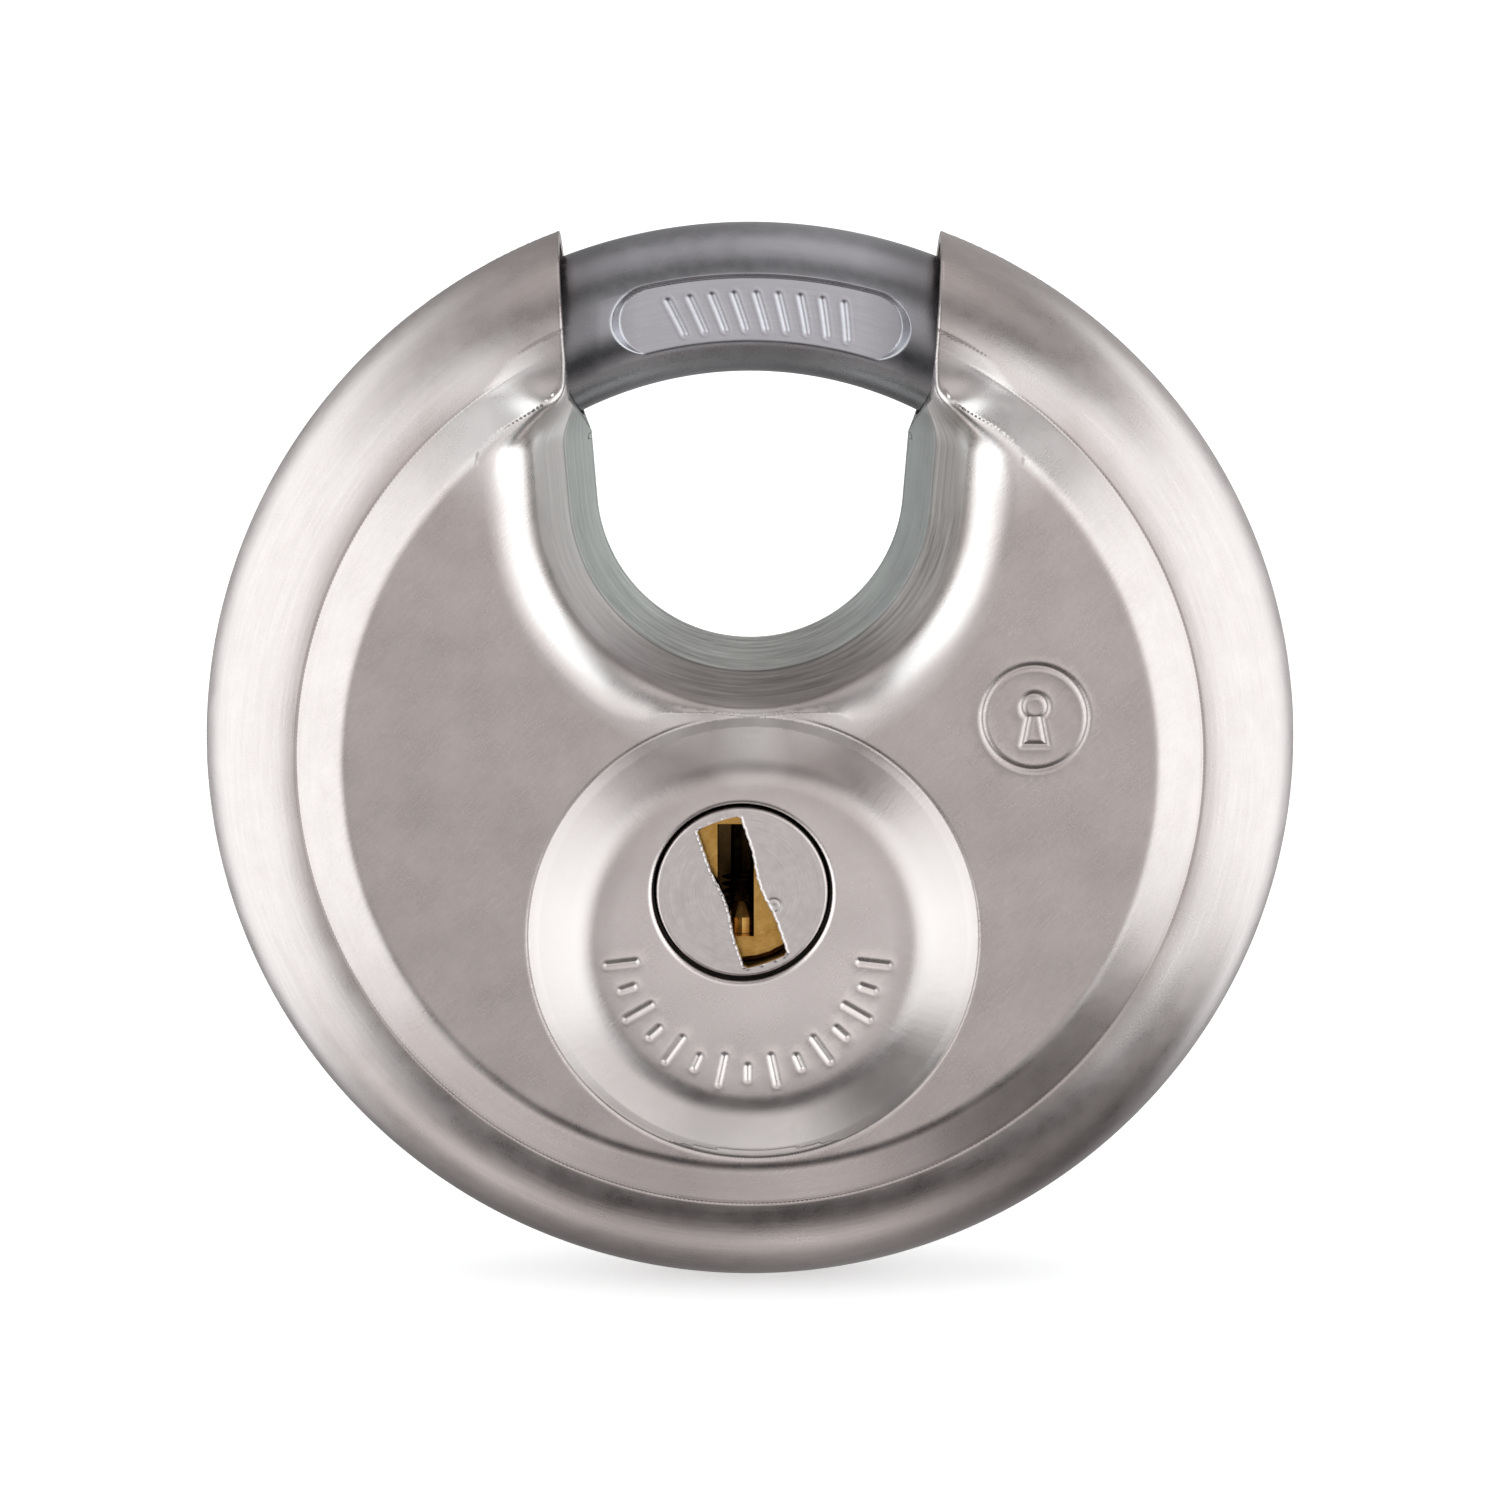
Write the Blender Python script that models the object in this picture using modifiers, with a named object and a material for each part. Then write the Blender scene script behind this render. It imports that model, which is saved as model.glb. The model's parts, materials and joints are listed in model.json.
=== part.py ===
"""Disc padlock, 70 mm across, with its cylinder, crank drive and swinging shackle.

The lock is modelled lying on its back: x to the right, y towards the shackle, z out of the
front face, from the middle of the seam between the two halves. One empty then stands it upright,
with the front facing -Y and the shackle at the top, and sets its flat back on the XZ plane. So
the world origin is where the disc's own axis, which the shackle swings about, meets the back.
All sizes are in millimetres and all bearings in degrees, and the helpers scale them.
"""

import math

import bmesh
import bpy

MM = 0.001

OVER = 1.0  # how far a cutter runs past the piece that it cuts

# Disc and its drawn steel halves
DISC_R = 35.0
SHEET = 1.2
SEAM_HALF = 0.15
RIM_DEPTH = 8.4
FACE_DEPTH = 10.6
SHOULDER_RUN = 2.9
SHOULDER = ((1.06, 1.0), (0.85, 0.93), (0.56, 0.62), (0.07, 0.06))  # shares of its run and rise
SLOPE_INSET = 0.4  # how far a slope moves sideways per millimetre of inset
BOSS_X, BOSS_Y = 0.3, -10.75
BOSS_FOOT_R = 14.0
BOSS_TOP_R = 10.3
BOSS_DEPTH = 13.4
BOSS_BEVEL = 0.3
KEYHOLE_R = 5.75
GAP = 0.3
SHELL_STEPS = 40
CHANNEL_STEPS = 48

# Shackle
ROD_R = 4.75
RING_R = 28.65
TOE_BEARING = 129.0
HEEL_MARGIN = 9.0
CHANNEL_R = 5.05

# Throat under the shackle
THROAT_R = 9.8
THROAT_Y = 16.5
THROAT_RISE = 0.15
THROAT_LEAN = 4.7
FLARE = ((0.0, 0.0), (5.3, 1.6), (9.0, 3.7), (9.9, 4.6), (10.6, 6.2), (14.6, 8.2))
FLARE_TOP_Y = 23.8
FLARE_TOP_DROP = 0.3
GATE_Y = 21.8
GATE_HALF = 11.3

# Key cylinder
PLUG_X, PLUG_Y = -0.5, -7.6
PLUG_R = 4.8
BORE_R = 4.95
PLUG_FACE = 11.0
CYLINDER_FACE = 10.6
CORE_BACK = -3.2
HOUSING_R = 6.6
BIBLE_HALF = 3.1
BIBLE_FOOT = PLUG_Y - 13.6
KEYWAY_BLADE = ((-1.55, -1.6), (0.75, 4.0))
KEYWAY_FOOT = ((-0.7, -3.2), (0.75, -1.0))
CHAMBER_R = 1.35
PIN_R = 1.2
PIN_PITCH = 2.55
FIRST_PIN = 8.9
KEY_PIN_LENGTHS = (3.4, 2.6, 3.8, 2.9, 3.2)
KEY_PIN_POINT = 0.9
PIN_BEVEL = 0.1
CHAMBER_END = 1.9
COVER_HALF, COVER_HEIGHT = 2.1, 0.75
DRIVER_LENGTH = 3.85
SPRING_LENGTH = 3.0
SPRING_R = 0.95
SPRING_WIRE = 0.15
SPRING_TURNS = 4

# Free-turning guard disc in front of the plug
GUARD_R = 5.35
GUARD_FLANGE_R = 6.35
ANTI_DRILL_R = 9.6
GUARD_FACE, GUARD_STEP, GUARD_BACK = 12.95, 11.9, 11.3
SLOT_WIDTH, SLOT_LENGTH, SLOT_LEAN = 2.3, 9.7, 19.0

# Crank drive behind the cylinder
KEY_TURN = 120.0
CRANK_R = 13.5
CRANK_FRONT, CRANK_BACK = -5.9, -7.7
CRANK_HUB_R, CRANK_ARM_R = 5.0, 2.6
TAIL_R = 3.4
TAIL_FLAT = 2.6
TAIL_BACK = -8.45
GROOVE_R = 2.9
GROOVE_FRONT, GROOVE_BACK = -3.4, -4.2
CLIP_GROOVE_R = 2.3
CLIP_GROOVE_FRONT, CLIP_GROOVE_BACK = -7.75, -8.3
CIRCLIP_R, CRANK_CLIP_R = 5.4, 4.4
CLIP_PLAY = 0.1
DRIVE_PIN_R = 1.5
TAB_FRONT, TAB_BACK = -3.5, -5.3
TAB_INNER, TAB_OUTER = 16.5, 31.5
TAB_WIDTH = 7.6
FORK_PLAY = 0.3
RIVET_R, RIVET_SPREAD, RIVET_FRONT = 1.1, 2.3, -1.6
STOP_R = 1.2
STOP_REACH = 9.0
STOP_OFFSET = 34.0

# Core, screws and rear plate
CORE_R = 23.3
POST_X, POST_Y, POST_R = 16.2, 3.0, 2.6
POST_BACK = -8.2
POST_BORE_R = 1.35
SCREW_R, SCREW_LENGTH = 1.2, 4.2
SCREW_HEAD_R = 2.2
SCREW_CLEARANCE = 0.2
DRIVER_SLOT, DRIVER_SLOT_LEAN = 0.6, 35.0
PLATE_R = 22.5
PLATE_FRONT, PLATE_BACK = -8.6, -9.1
RING_BORE_R = 24.6

# Worked out from the sizes above
PLUG_REACH = math.hypot(PLUG_X, PLUG_Y)
PLUG_BEARING = math.degrees(math.atan2(PLUG_Y, PLUG_X))
CRANK_BEARING = PLUG_BEARING + KEY_TURN / 2
DRIVE_X = PLUG_X + CRANK_R * math.cos(math.radians(CRANK_BEARING))
DRIVE_Y = PLUG_Y + CRANK_R * math.sin(math.radians(CRANK_BEARING))
TAB_BEARING = math.degrees(math.atan2(DRIVE_Y, DRIVE_X))
SHACKLE_SWING = 2 * (TAB_BEARING - PLUG_BEARING)
SHEAR_LINE = PLUG_Y - PLUG_R


def clear_scene():
    for old in list(bpy.data.objects):
        bpy.data.objects.remove(old, do_unlink=True)


def new_collection(name):
    collection = bpy.data.collections.new(name)
    bpy.context.scene.collection.children.link(collection)
    return collection


clear_scene()
PARTS = new_collection("disc_padlock")
CUTTERS = new_collection("cutters")
STAND = bpy.data.objects.new("disc_padlock_frame", None)
STAND.rotation_euler.x = math.pi / 2
STAND.location.y = -FACE_DEPTH * MM
PARTS.objects.link(STAND)


def look(name, colour, roughness, metallic=1.0):
    material = bpy.data.materials.new(name)
    material.use_nodes = True
    shader = material.node_tree.nodes["Principled BSDF"]
    shader.inputs["Base Color"].default_value = (*colour, 1.0)
    shader.inputs["Roughness"].default_value = roughness
    shader.inputs["Metallic"].default_value = metallic
    return material


STAINLESS = look("stainless_sheet", (0.55, 0.51, 0.50), 0.35)
SHACKLE_STEEL = look("hardened_shackle_steel", (0.42, 0.42, 0.45), 0.32)
BRASS = look("cylinder_brass", (0.62, 0.42, 0.16), 0.35)
ZINC = look("die_cast_zinc", (0.45, 0.46, 0.47), 0.55)
SPRING_STEEL = look("spring_steel", (0.30, 0.30, 0.31), 0.35)
HARD_STEEL = look("hardened_plate_steel", (0.26, 0.26, 0.28), 0.45)


def finish(obj, material):
    """Hangs a piece on the frame with its material, or files it as a cutter."""
    obj.parent = STAND
    for owner in list(obj.users_collection):
        owner.objects.unlink(obj)
    if material:
        PARTS.objects.link(obj)
        obj.data.materials.clear()
        obj.data.materials.append(material)
        if obj.type == "MESH":
            obj.data.shade_smooth()
            obj.data.set_sharp_from_angle(angle=math.radians(35))
    else:
        CUTTERS.objects.link(obj)
        obj.hide_render = True
        obj.display_type = "WIRE"
    return obj


def scaled(points):
    return [tuple(value * MM for value in point) for point in points]


def polar(radius, bearing, x=0.0, y=0.0):
    angle = math.radians(bearing)
    return (x + radius * math.cos(angle), y + radius * math.sin(angle))


def arc(radius, start, end, steps, x=0.0, y=0.0):
    """Points along a round stretch, both ends included."""
    return [polar(radius, start + (end - start) * i / steps, x, y) for i in range(steps + 1)]


def turned(name, profile, material, steps=64, ring=False, x=0.0, y=0.0):
    """A solid turned about the z direction from (radius, z) points that run down its outside."""
    mesh = bpy.data.meshes.new(name)
    edges = [(i, i + 1) for i in range(len(profile) - 1)]
    if ring:
        edges.append((len(profile) - 1, 0))
    mesh.from_pydata(scaled((radius, 0.0, z) for radius, z in profile), edges, [])
    obj = bpy.data.objects.new(name, mesh)
    obj.location = (x * MM, y * MM, 0.0)
    screw = obj.modifiers.new("turn", "SCREW")
    screw.steps = screw.render_steps = steps
    screw.use_merge_vertices = True
    screw.merge_threshold = 0.00001
    screw.use_smooth_shade = True
    return finish(obj, material)


def cylinder(name, radius, low, high, material, x=0.0, y=0.0, steps=24):
    form = bmesh.new()
    bmesh.ops.create_cone(form, cap_ends=True, segments=steps, radius1=radius * MM,
                          radius2=radius * MM, depth=(high - low) * MM)
    mesh = bpy.data.meshes.new(name)
    form.to_mesh(mesh)
    form.free()
    obj = bpy.data.objects.new(name, mesh)
    obj.location = (x * MM, y * MM, (low + high) / 2 * MM)
    return finish(obj, material)


def box(name, low, high, material, bearing=0.0, about=(0.0, 0.0)):
    """A block between two corners, turned by bearing round a point of the plan."""
    form = bmesh.new()
    bmesh.ops.create_cube(form, size=1.0)
    size = [(b - a) * MM for a, b in zip(low, high)]
    middle = [(a + b) / 2 * MM for a, b in zip(low, high)]
    bmesh.ops.scale(form, verts=form.verts, vec=size)
    bmesh.ops.translate(form, verts=form.verts, vec=middle)
    mesh = bpy.data.meshes.new(name)
    form.to_mesh(mesh)
    form.free()
    obj = bpy.data.objects.new(name, mesh)
    obj.location = (about[0] * MM, about[1] * MM, 0.0)
    obj.rotation_euler.z = math.radians(bearing)
    return finish(obj, material)


def as_mesh(curve):
    """The curve object's solid as a mesh object, with its loose caps welded on."""
    bpy.context.view_layer.update()
    evaluated = curve.evaluated_get(bpy.context.evaluated_depsgraph_get())
    mesh = bpy.data.meshes.new_from_object(evaluated)
    form = bmesh.new()
    form.from_mesh(mesh)
    bmesh.ops.remove_doubles(form, verts=form.verts, dist=0.000001)
    bmesh.ops.recalc_face_normals(form, faces=form.faces)
    form.to_mesh(mesh)
    form.free()
    name = curve.name
    place = curve.matrix_world.copy()
    bpy.data.objects.remove(curve, do_unlink=True)
    solid = bpy.data.objects.new(name, mesh)
    solid.matrix_world = place
    return solid


def curve_object(name, points, closed, dimensions):
    data = bpy.data.curves.new(name, "CURVE")
    data.dimensions = dimensions
    spline = data.splines.new("POLY")
    spline.points.add(len(points) - 1)
    for point, place in zip(spline.points, scaled(points)):
        point.co = (*place, 1.0)
    spline.use_cyclic_u = closed
    obj = bpy.data.objects.new(name, data)
    bpy.context.scene.collection.objects.link(obj)
    return obj


def plate(name, outline, low, high, material):
    """A flat outline of (x, y) points with a thickness from low to high."""
    curve = curve_object(name, [(x, y, 0.0) for x, y in outline], True, "2D")
    curve.data.fill_mode = "BOTH"
    curve.data.extrude = (high - low) / 2 * MM
    curve.location.z = (low + high) / 2 * MM
    return finish(as_mesh(curve), material)


def wire(name, path, radius, roundness, material):
    """A round wire or rod along a path of (x, y, z) points, with filled ends."""
    curve = curve_object(name, path, False, "3D")
    curve.data.bevel_depth = radius * MM
    curve.data.bevel_resolution = roundness
    curve.data.use_fill_caps = True
    return finish(as_mesh(curve), material)


def loft(name, sections):
    """A cutter through closed outlines with equal counts of points, each at its own z."""
    form = bmesh.new()
    loops = []
    for outline, height in sections:
        ring = [form.verts.new((x * MM, y * MM, height * MM)) for x, y in outline]
        loops.append([form.edges.new(pair) for pair in zip(ring, ring[1:] + ring[:1])])
    for lower, upper in zip(loops, loops[1:]):
        bmesh.ops.bridge_loops(form, edges=lower + upper)
    bmesh.ops.holes_fill(form, edges=form.edges)
    bmesh.ops.recalc_face_normals(form, faces=form.faces)
    mesh = bpy.data.meshes.new(name)
    form.to_mesh(mesh)
    form.free()
    return finish(bpy.data.objects.new(name, mesh), None)


def combine(obj, operation, others):
    for other in others:
        step = obj.modifiers.new(other.name, "BOOLEAN")
        step.operation = operation
        step.object = other
    return obj


def cut(obj, *cutters):
    return combine(obj, "DIFFERENCE", cutters)


def join(obj, *others):
    return combine(obj, "UNION", others)


# Forms that several pieces are cut from or with


def dome_profile(inset, base):
    """Half section of a drawn shell, moved in by inset: face, shoulder, crease and round rim."""
    face = FACE_DEPTH - inset
    crease = RIM_DEPTH - inset
    across = RING_R - SLOPE_INSET * inset
    rise = face - crease
    shoulder = [(across - SHOULDER_RUN * run, crease + rise * height) for run, height in SHOULDER]
    rim = [(RING_R + (DISC_R - RING_R - inset) * math.sin(math.radians(a)),
            crease * math.cos(math.radians(a))) for a in range(12, 80, 11)]
    edge = DISC_R - inset
    return [(0.0, face)] + shoulder + rim + [(edge, 0.4), (edge, base), (0.0, base)]


def boss_profile(inset, base):
    """Half section of the boss: a bevelled top, a straight side and a softer foot."""
    top = BOSS_DEPTH - inset
    foot = FACE_DEPTH - inset
    top_r = BOSS_TOP_R - SLOPE_INSET * inset
    foot_r = BOSS_FOOT_R - SLOPE_INSET * inset
    return [(0.0, top), (top_r - 0.5, top), (top_r + 0.4, top - BOSS_BEVEL),
            (foot_r - 0.6, foot + BOSS_BEVEL), (foot_r + 0.4, foot - BOSS_BEVEL / 2),
            (foot_r + 0.4, base), (0.0, base)]


def throat_outline(spread, top):
    """Round bottom with two straight sides that lean outwards up to top."""
    radius = THROAT_R + spread
    centre = THROAT_Y + THROAT_RISE * spread
    points = arc(radius, -THROAT_LEAN, THROAT_LEAN - 180.0, 16, 0.0, centre)
    side = points[0][0] + (top - points[0][1]) * math.tan(math.radians(THROAT_LEAN))
    return points + [(-side, top), (side, top)]


def throat_cutter(name, grow):
    """The throat through both halves: waisted at the seam and flared to each face."""
    heights = [(-z, spread) for z, spread in reversed(FLARE[1:])] + list(FLARE)
    sections = []
    for z, spread in heights:
        top = FLARE_TOP_Y + grow - FLARE_TOP_DROP * spread
        sections.append((throat_outline(spread + grow, top), z))
    return loft(name, sections)


def gate_cutter(name, grow):
    """The gap between the two ends of the rim, where the shackle shows."""
    top = DISC_R + 5.0
    lean = math.tan(math.radians(THROAT_LEAN))
    foot, head = GATE_HALF + grow, GATE_HALF + grow + (top - GATE_Y) * lean
    outline = [(-foot, GATE_Y), (foot, GATE_Y), (head, top), (-head, top)]
    return plate(name, outline, -2 * FACE_DEPTH, 2 * FACE_DEPTH, None)


def sector_outline(inner, outer, start, end):
    return arc(outer, start, end, 24) + arc(inner, end, start, 24)


def channel_cutter():
    """The round channel that the shackle runs in."""
    bpy.ops.mesh.primitive_torus_add(
        major_radius=RING_R * MM, minor_radius=CHANNEL_R * MM,
        major_segments=CHANNEL_STEPS, minor_segments=14)
    obj = bpy.context.object
    obj.name = "channel_cutter"
    return finish(obj, None)


THROAT = throat_cutter("throat_cutter", 0.0)
THROAT_WALL = throat_cutter("throat_wall_cutter", SHEET)
THROAT_ROOM = throat_cutter("throat_room_cutter", SHEET + GAP)
GATE = gate_cutter("gate_cutter", 0.0)
GATE_ROOM = gate_cutter("gate_room_cutter", 0.6)
CHANNEL = channel_cutter()


# Shell


def shell_hollow(name, front):
    """The inside of one drawn half, one sheet thickness in from its outside."""
    hollow = turned(name, dome_profile(SHEET, -1.0), None, steps=SHELL_STEPS)
    if front:
        boss = turned(name + "_boss", boss_profile(SHEET, FACE_DEPTH - SHEET - 2.0), None,
                      steps=32, x=BOSS_X, y=BOSS_Y)
        join(hollow, boss)
    return cut(hollow, THROAT_WALL)


def front_shell():
    shell = turned("front_shell", dome_profile(0.0, SEAM_HALF), STAINLESS, steps=SHELL_STEPS)
    boss = turned("front_boss_form", boss_profile(0.0, FACE_DEPTH - 2.0), None, steps=32,
                  x=BOSS_X, y=BOSS_Y)
    keyhole = cylinder("keyhole_cutter", KEYHOLE_R, BOSS_DEPTH - 5.0, BOSS_DEPTH + 5.0, None,
                       PLUG_X, PLUG_Y, steps=40)
    join(shell, boss)
    cut(shell, THROAT, GATE, shell_hollow("front_hollow", True), CHANNEL, keyhole)


def rear_shell():
    shell = turned("rear_shell", dome_profile(0.0, SEAM_HALF), STAINLESS, steps=SHELL_STEPS)
    hollow = shell_hollow("rear_hollow", False)
    for obj in (shell, hollow):
        obj.rotation_euler.y = math.pi
    cut(shell, THROAT, GATE, hollow, CHANNEL)


# Guides and core


def guide_ring(name, front):
    """A cast liner that fills the rim in front of or behind the shackle and guides it."""
    inset = SHEET + GAP
    profile = [point for point in dome_profile(inset, SEAM_HALF) if point[0] >= RING_BORE_R]
    face = FACE_DEPTH - inset
    profile = [(RING_BORE_R, face)] + profile + [(RING_BORE_R, SEAM_HALF)]
    ring = turned(name, profile, ZINC, steps=SHELL_STEPS, ring=True)
    if not front:
        ring.rotation_euler.y = math.pi
    cut(ring, CHANNEL, THROAT_ROOM, GATE_ROOM)
    return ring


def tab_sweep_cutter():
    """Room in the rear guide for the drive tab through its whole swing."""
    margin = 11.0
    outline = sector_outline(TAB_INNER, TAB_OUTER + 0.5, TAB_BEARING + margin,
                             TAB_BEARING - SHACKLE_SWING - margin)
    return plate("tab_sweep_cutter", outline, TAB_BACK - 0.5, TAB_FRONT + 0.4, None)


def housing_outline(grow):
    """The cylinder's section: a round barrel with a narrower bible below it."""
    radius = HOUSING_R + grow
    half = BIBLE_HALF + grow
    foot = BIBLE_FOOT - grow
    neck = math.degrees(math.asin(half / radius))
    barrel = arc(radius, -90.0 + neck, 270.0 - neck, 32, PLUG_X, PLUG_Y)
    corner = 1.0
    left = arc(corner, 180.0, 270.0, 4, PLUG_X - half + corner, foot + corner)
    right = arc(corner, 270.0, 360.0, 4, PLUG_X + half - corner, foot + corner)
    return barrel + left + right


def lock_core():
    """The cast body that fills the disc, holds the cylinder and carries two screw posts."""
    front = FACE_DEPTH - SHEET - GAP
    core = cylinder("lock_core", CORE_R, CORE_BACK, front, ZINC, steps=64)
    pocket = plate("cylinder_pocket", housing_outline(0.2), CORE_BACK - OVER, front + OVER, None)
    cut(core, THROAT_ROOM, pocket)
    for side in (-1, 1):
        post = cylinder(f"post_{side}", POST_R, POST_BACK, CORE_BACK + OVER, None,
                        side * POST_X, POST_Y)
        bore = cylinder(f"post_bore_{side}", POST_BORE_R, POST_BACK - OVER, CORE_BACK + 2.0,
                        None, side * POST_X, POST_Y, steps=16)
        join(core, post)
        cut(core, bore)
    for number, (x, y) in enumerate(stop_places(), 1):
        socket = cylinder(f"stop_socket_{number}", STOP_R + 0.1, CORE_BACK - OVER,
                          CORE_BACK + 4.0, None, x, y, steps=16)
        cut(core, socket)


def rear_plate():
    plate_form = cylinder("rear_plate", PLATE_R, PLATE_BACK, PLATE_FRONT, HARD_STEEL, steps=64)
    cut(plate_form, THROAT_ROOM)
    for side in (-1, 1):
        hole = cylinder(f"plate_hole_{side}", SCREW_HEAD_R + SCREW_CLEARANCE, PLATE_BACK - OVER,
                        PLATE_FRONT + OVER, None, side * POST_X, POST_Y)
        cut(plate_form, hole)


def core_screws():
    for number, side in enumerate((-1, 1), 1):
        under = POST_BACK - SCREW_CLEARANCE
        back = PLATE_BACK + 0.05
        profile = [(0.0, under + SCREW_LENGTH), (SCREW_R, under + SCREW_LENGTH), (SCREW_R, under),
                   (SCREW_HEAD_R, under), (SCREW_HEAD_R, back), (0.0, back)]
        screw = turned(f"core_screw_{number}", profile, HARD_STEEL, steps=20,
                       x=side * POST_X, y=POST_Y)
        half, reach = DRIVER_SLOT / 2, SCREW_HEAD_R + OVER
        driver_slot = box(f"screw_slot_{number}", (-reach, -half, PLATE_BACK - OVER),
                          (reach, half, PLATE_BACK + 0.4), None, DRIVER_SLOT_LEAN * side,
                          (side * POST_X, POST_Y))
        cut(screw, driver_slot)


# Key cylinder


def pin_depths():
    return [FIRST_PIN - PIN_PITCH * i for i in range(len(KEY_PIN_LENGTHS))]


def upright(obj, y, z):
    """Turns a piece made along z to lie along y, with its base at y."""
    obj.rotation_euler.x = -math.pi / 2
    obj.location = (PLUG_X * MM, y * MM, z * MM)
    return obj


def chamber_cutter(name, low, high, z):
    drill = cylinder(name, CHAMBER_R, 0.0, high - low, None, steps=16)
    return upright(drill, (low + high) / 2, z)


def cylinder_housing():
    housing = plate("cylinder_housing", housing_outline(0.0), CORE_BACK, CYLINDER_FACE, BRASS)
    bore = cylinder("plug_bore", BORE_R, CORE_BACK - OVER, CYLINDER_FACE + OVER, None,
                    PLUG_X, PLUG_Y, steps=40)
    half = COVER_HALF + 0.2
    groove = box("cover_groove", (PLUG_X - half, BIBLE_FOOT - OVER, CORE_BACK + 0.7),
                 (PLUG_X + half, BIBLE_FOOT + COVER_HEIGHT + 0.35, CYLINDER_FACE + OVER), None)
    cut(housing, bore, groove)
    for number, z in enumerate(pin_depths(), 1):
        cut(housing, chamber_cutter(f"housing_chamber_{number}", BIBLE_FOOT - OVER,
                                    SHEAR_LINE + 2.8, z))


def chamber_cover():
    """The brass strip that closes the pin chambers from below."""
    box("chamber_cover", (PLUG_X - COVER_HALF, BIBLE_FOOT + 0.1, CORE_BACK + 1.0),
        (PLUG_X + COVER_HALF, BIBLE_FOOT + 0.1 + COVER_HEIGHT, CYLINDER_FACE - 0.1), BRASS)


def plug():
    """The turning plug with its stepped keyway, pin chambers, and a tail for the crank."""
    profile = [(0.0, PLUG_FACE), (PLUG_R - 0.3, PLUG_FACE), (PLUG_R, PLUG_FACE - 0.3),
               (PLUG_R, CORE_BACK), (TAIL_R, CORE_BACK), (TAIL_R, GROOVE_FRONT),
               (GROOVE_R, GROOVE_FRONT), (GROOVE_R, GROOVE_BACK), (TAIL_R, GROOVE_BACK),
               (TAIL_R, CLIP_GROOVE_FRONT), (CLIP_GROOVE_R, CLIP_GROOVE_FRONT),
               (CLIP_GROOVE_R, CLIP_GROOVE_BACK), (TAIL_R, CLIP_GROOVE_BACK),
               (TAIL_R, TAIL_BACK), (0.0, TAIL_BACK)]
    body = turned("plug", profile, BRASS, steps=32, x=PLUG_X, y=PLUG_Y)
    for number, (low, high) in enumerate((KEYWAY_BLADE, KEYWAY_FOOT), 1):
        slot = box(f"keyway_cutter_{number}", (*low, CORE_BACK + 0.8), (*high, PLUG_FACE + OVER),
                   None, 0.0, (PLUG_X, PLUG_Y))
        cut(body, slot)
    for number, z in enumerate(pin_depths(), 1):
        cut(body, chamber_cutter(f"plug_chamber_{number}", SHEAR_LINE - OVER,
                                 PLUG_Y + CHAMBER_END, z))
    for side in (-1, 1):
        near, far = sorted((side * TAIL_FLAT, side * (TAIL_R + OVER)))
        flat = box(f"tail_flat_{side}", (near, -PLUG_R, TAIL_BACK - OVER),
                   (far, PLUG_R, CRANK_FRONT + 0.3), None, CRANK_BEARING, (PLUG_X, PLUG_Y))
        cut(body, flat)


def guard_disc():
    profile = [(0.0, GUARD_FACE), (GUARD_R - 0.2, GUARD_FACE), (GUARD_R, GUARD_FACE - 0.2),
               (GUARD_R, GUARD_STEP), (GUARD_FLANGE_R, GUARD_STEP), (GUARD_FLANGE_R, GUARD_BACK),
               (0.0, GUARD_BACK)]
    disc = turned("guard_disc", profile, STAINLESS, steps=48, x=PLUG_X, y=PLUG_Y)
    half, reach = SLOT_WIDTH / 2, SLOT_LENGTH / 2
    slot = box("guard_slot", (-half, -reach, GUARD_BACK - OVER), (half, reach, GUARD_FACE + OVER),
               None, SLOT_LEAN, (PLUG_X, PLUG_Y))
    cut(disc, slot)


def anti_drill_plate():
    """A hardened horseshoe in the hollow of the boss, open above the guard disc."""
    low = CYLINDER_FACE + 0.2
    high = low + 1.0
    shoe = cylinder("anti_drill_plate", ANTI_DRILL_R, low, high, HARD_STEEL, BOSS_X, BOSS_Y,
                    steps=40)
    hole = cylinder("guard_room_cutter", GUARD_FLANGE_R + 0.25, low - OVER, high + OVER, None,
                    PLUG_X, PLUG_Y, steps=40)
    mouth = box("shoe_mouth_cutter", (-4.0, 0.0, low - OVER),
                (4.0, 2 * ANTI_DRILL_R, high + OVER), None, 0.0, (PLUG_X, PLUG_Y))
    cut(shoe, hole, mouth)


def pin_stacks():
    """Five pin stacks below the plug, standing at the shear line as a fitted key sets them."""
    for number, (z, length) in enumerate(zip(pin_depths(), KEY_PIN_LENGTHS), 1):
        foot = SHEAR_LINE + 0.12
        tip_r = PIN_R - 0.75
        profile = [(0.0, length), (tip_r, length), (PIN_R, length - KEY_PIN_POINT),
                   (PIN_R, PIN_BEVEL), (PIN_R - PIN_BEVEL, 0.0), (0.0, 0.0)]
        upright(turned(f"key_pin_{number}", profile, BRASS, steps=16), foot, z)
        profile = [(0.0, 0.0), (PIN_R - PIN_BEVEL, 0.0), (PIN_R, -PIN_BEVEL),
                   (PIN_R, PIN_BEVEL - DRIVER_LENGTH), (PIN_R - PIN_BEVEL, -DRIVER_LENGTH),
                   (0.0, -DRIVER_LENGTH)]
        head = SHEAR_LINE - 0.3
        upright(turned(f"driver_pin_{number}", profile, SPRING_STEEL, steps=16), head, z)
        pin_spring(number, head - DRIVER_LENGTH - 0.25, z)


def pin_spring(number, top, z):
    steps = 8 * SPRING_TURNS
    path = []
    for i in range(steps + 1):
        x, across = polar(SPRING_R, 45.0 * i)
        path.append((PLUG_X + x, top - SPRING_LENGTH * i / steps, z + across))
    wire(f"pin_spring_{number}", path, SPRING_WIRE, 0, SPRING_STEEL)


# Crank drive


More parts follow.
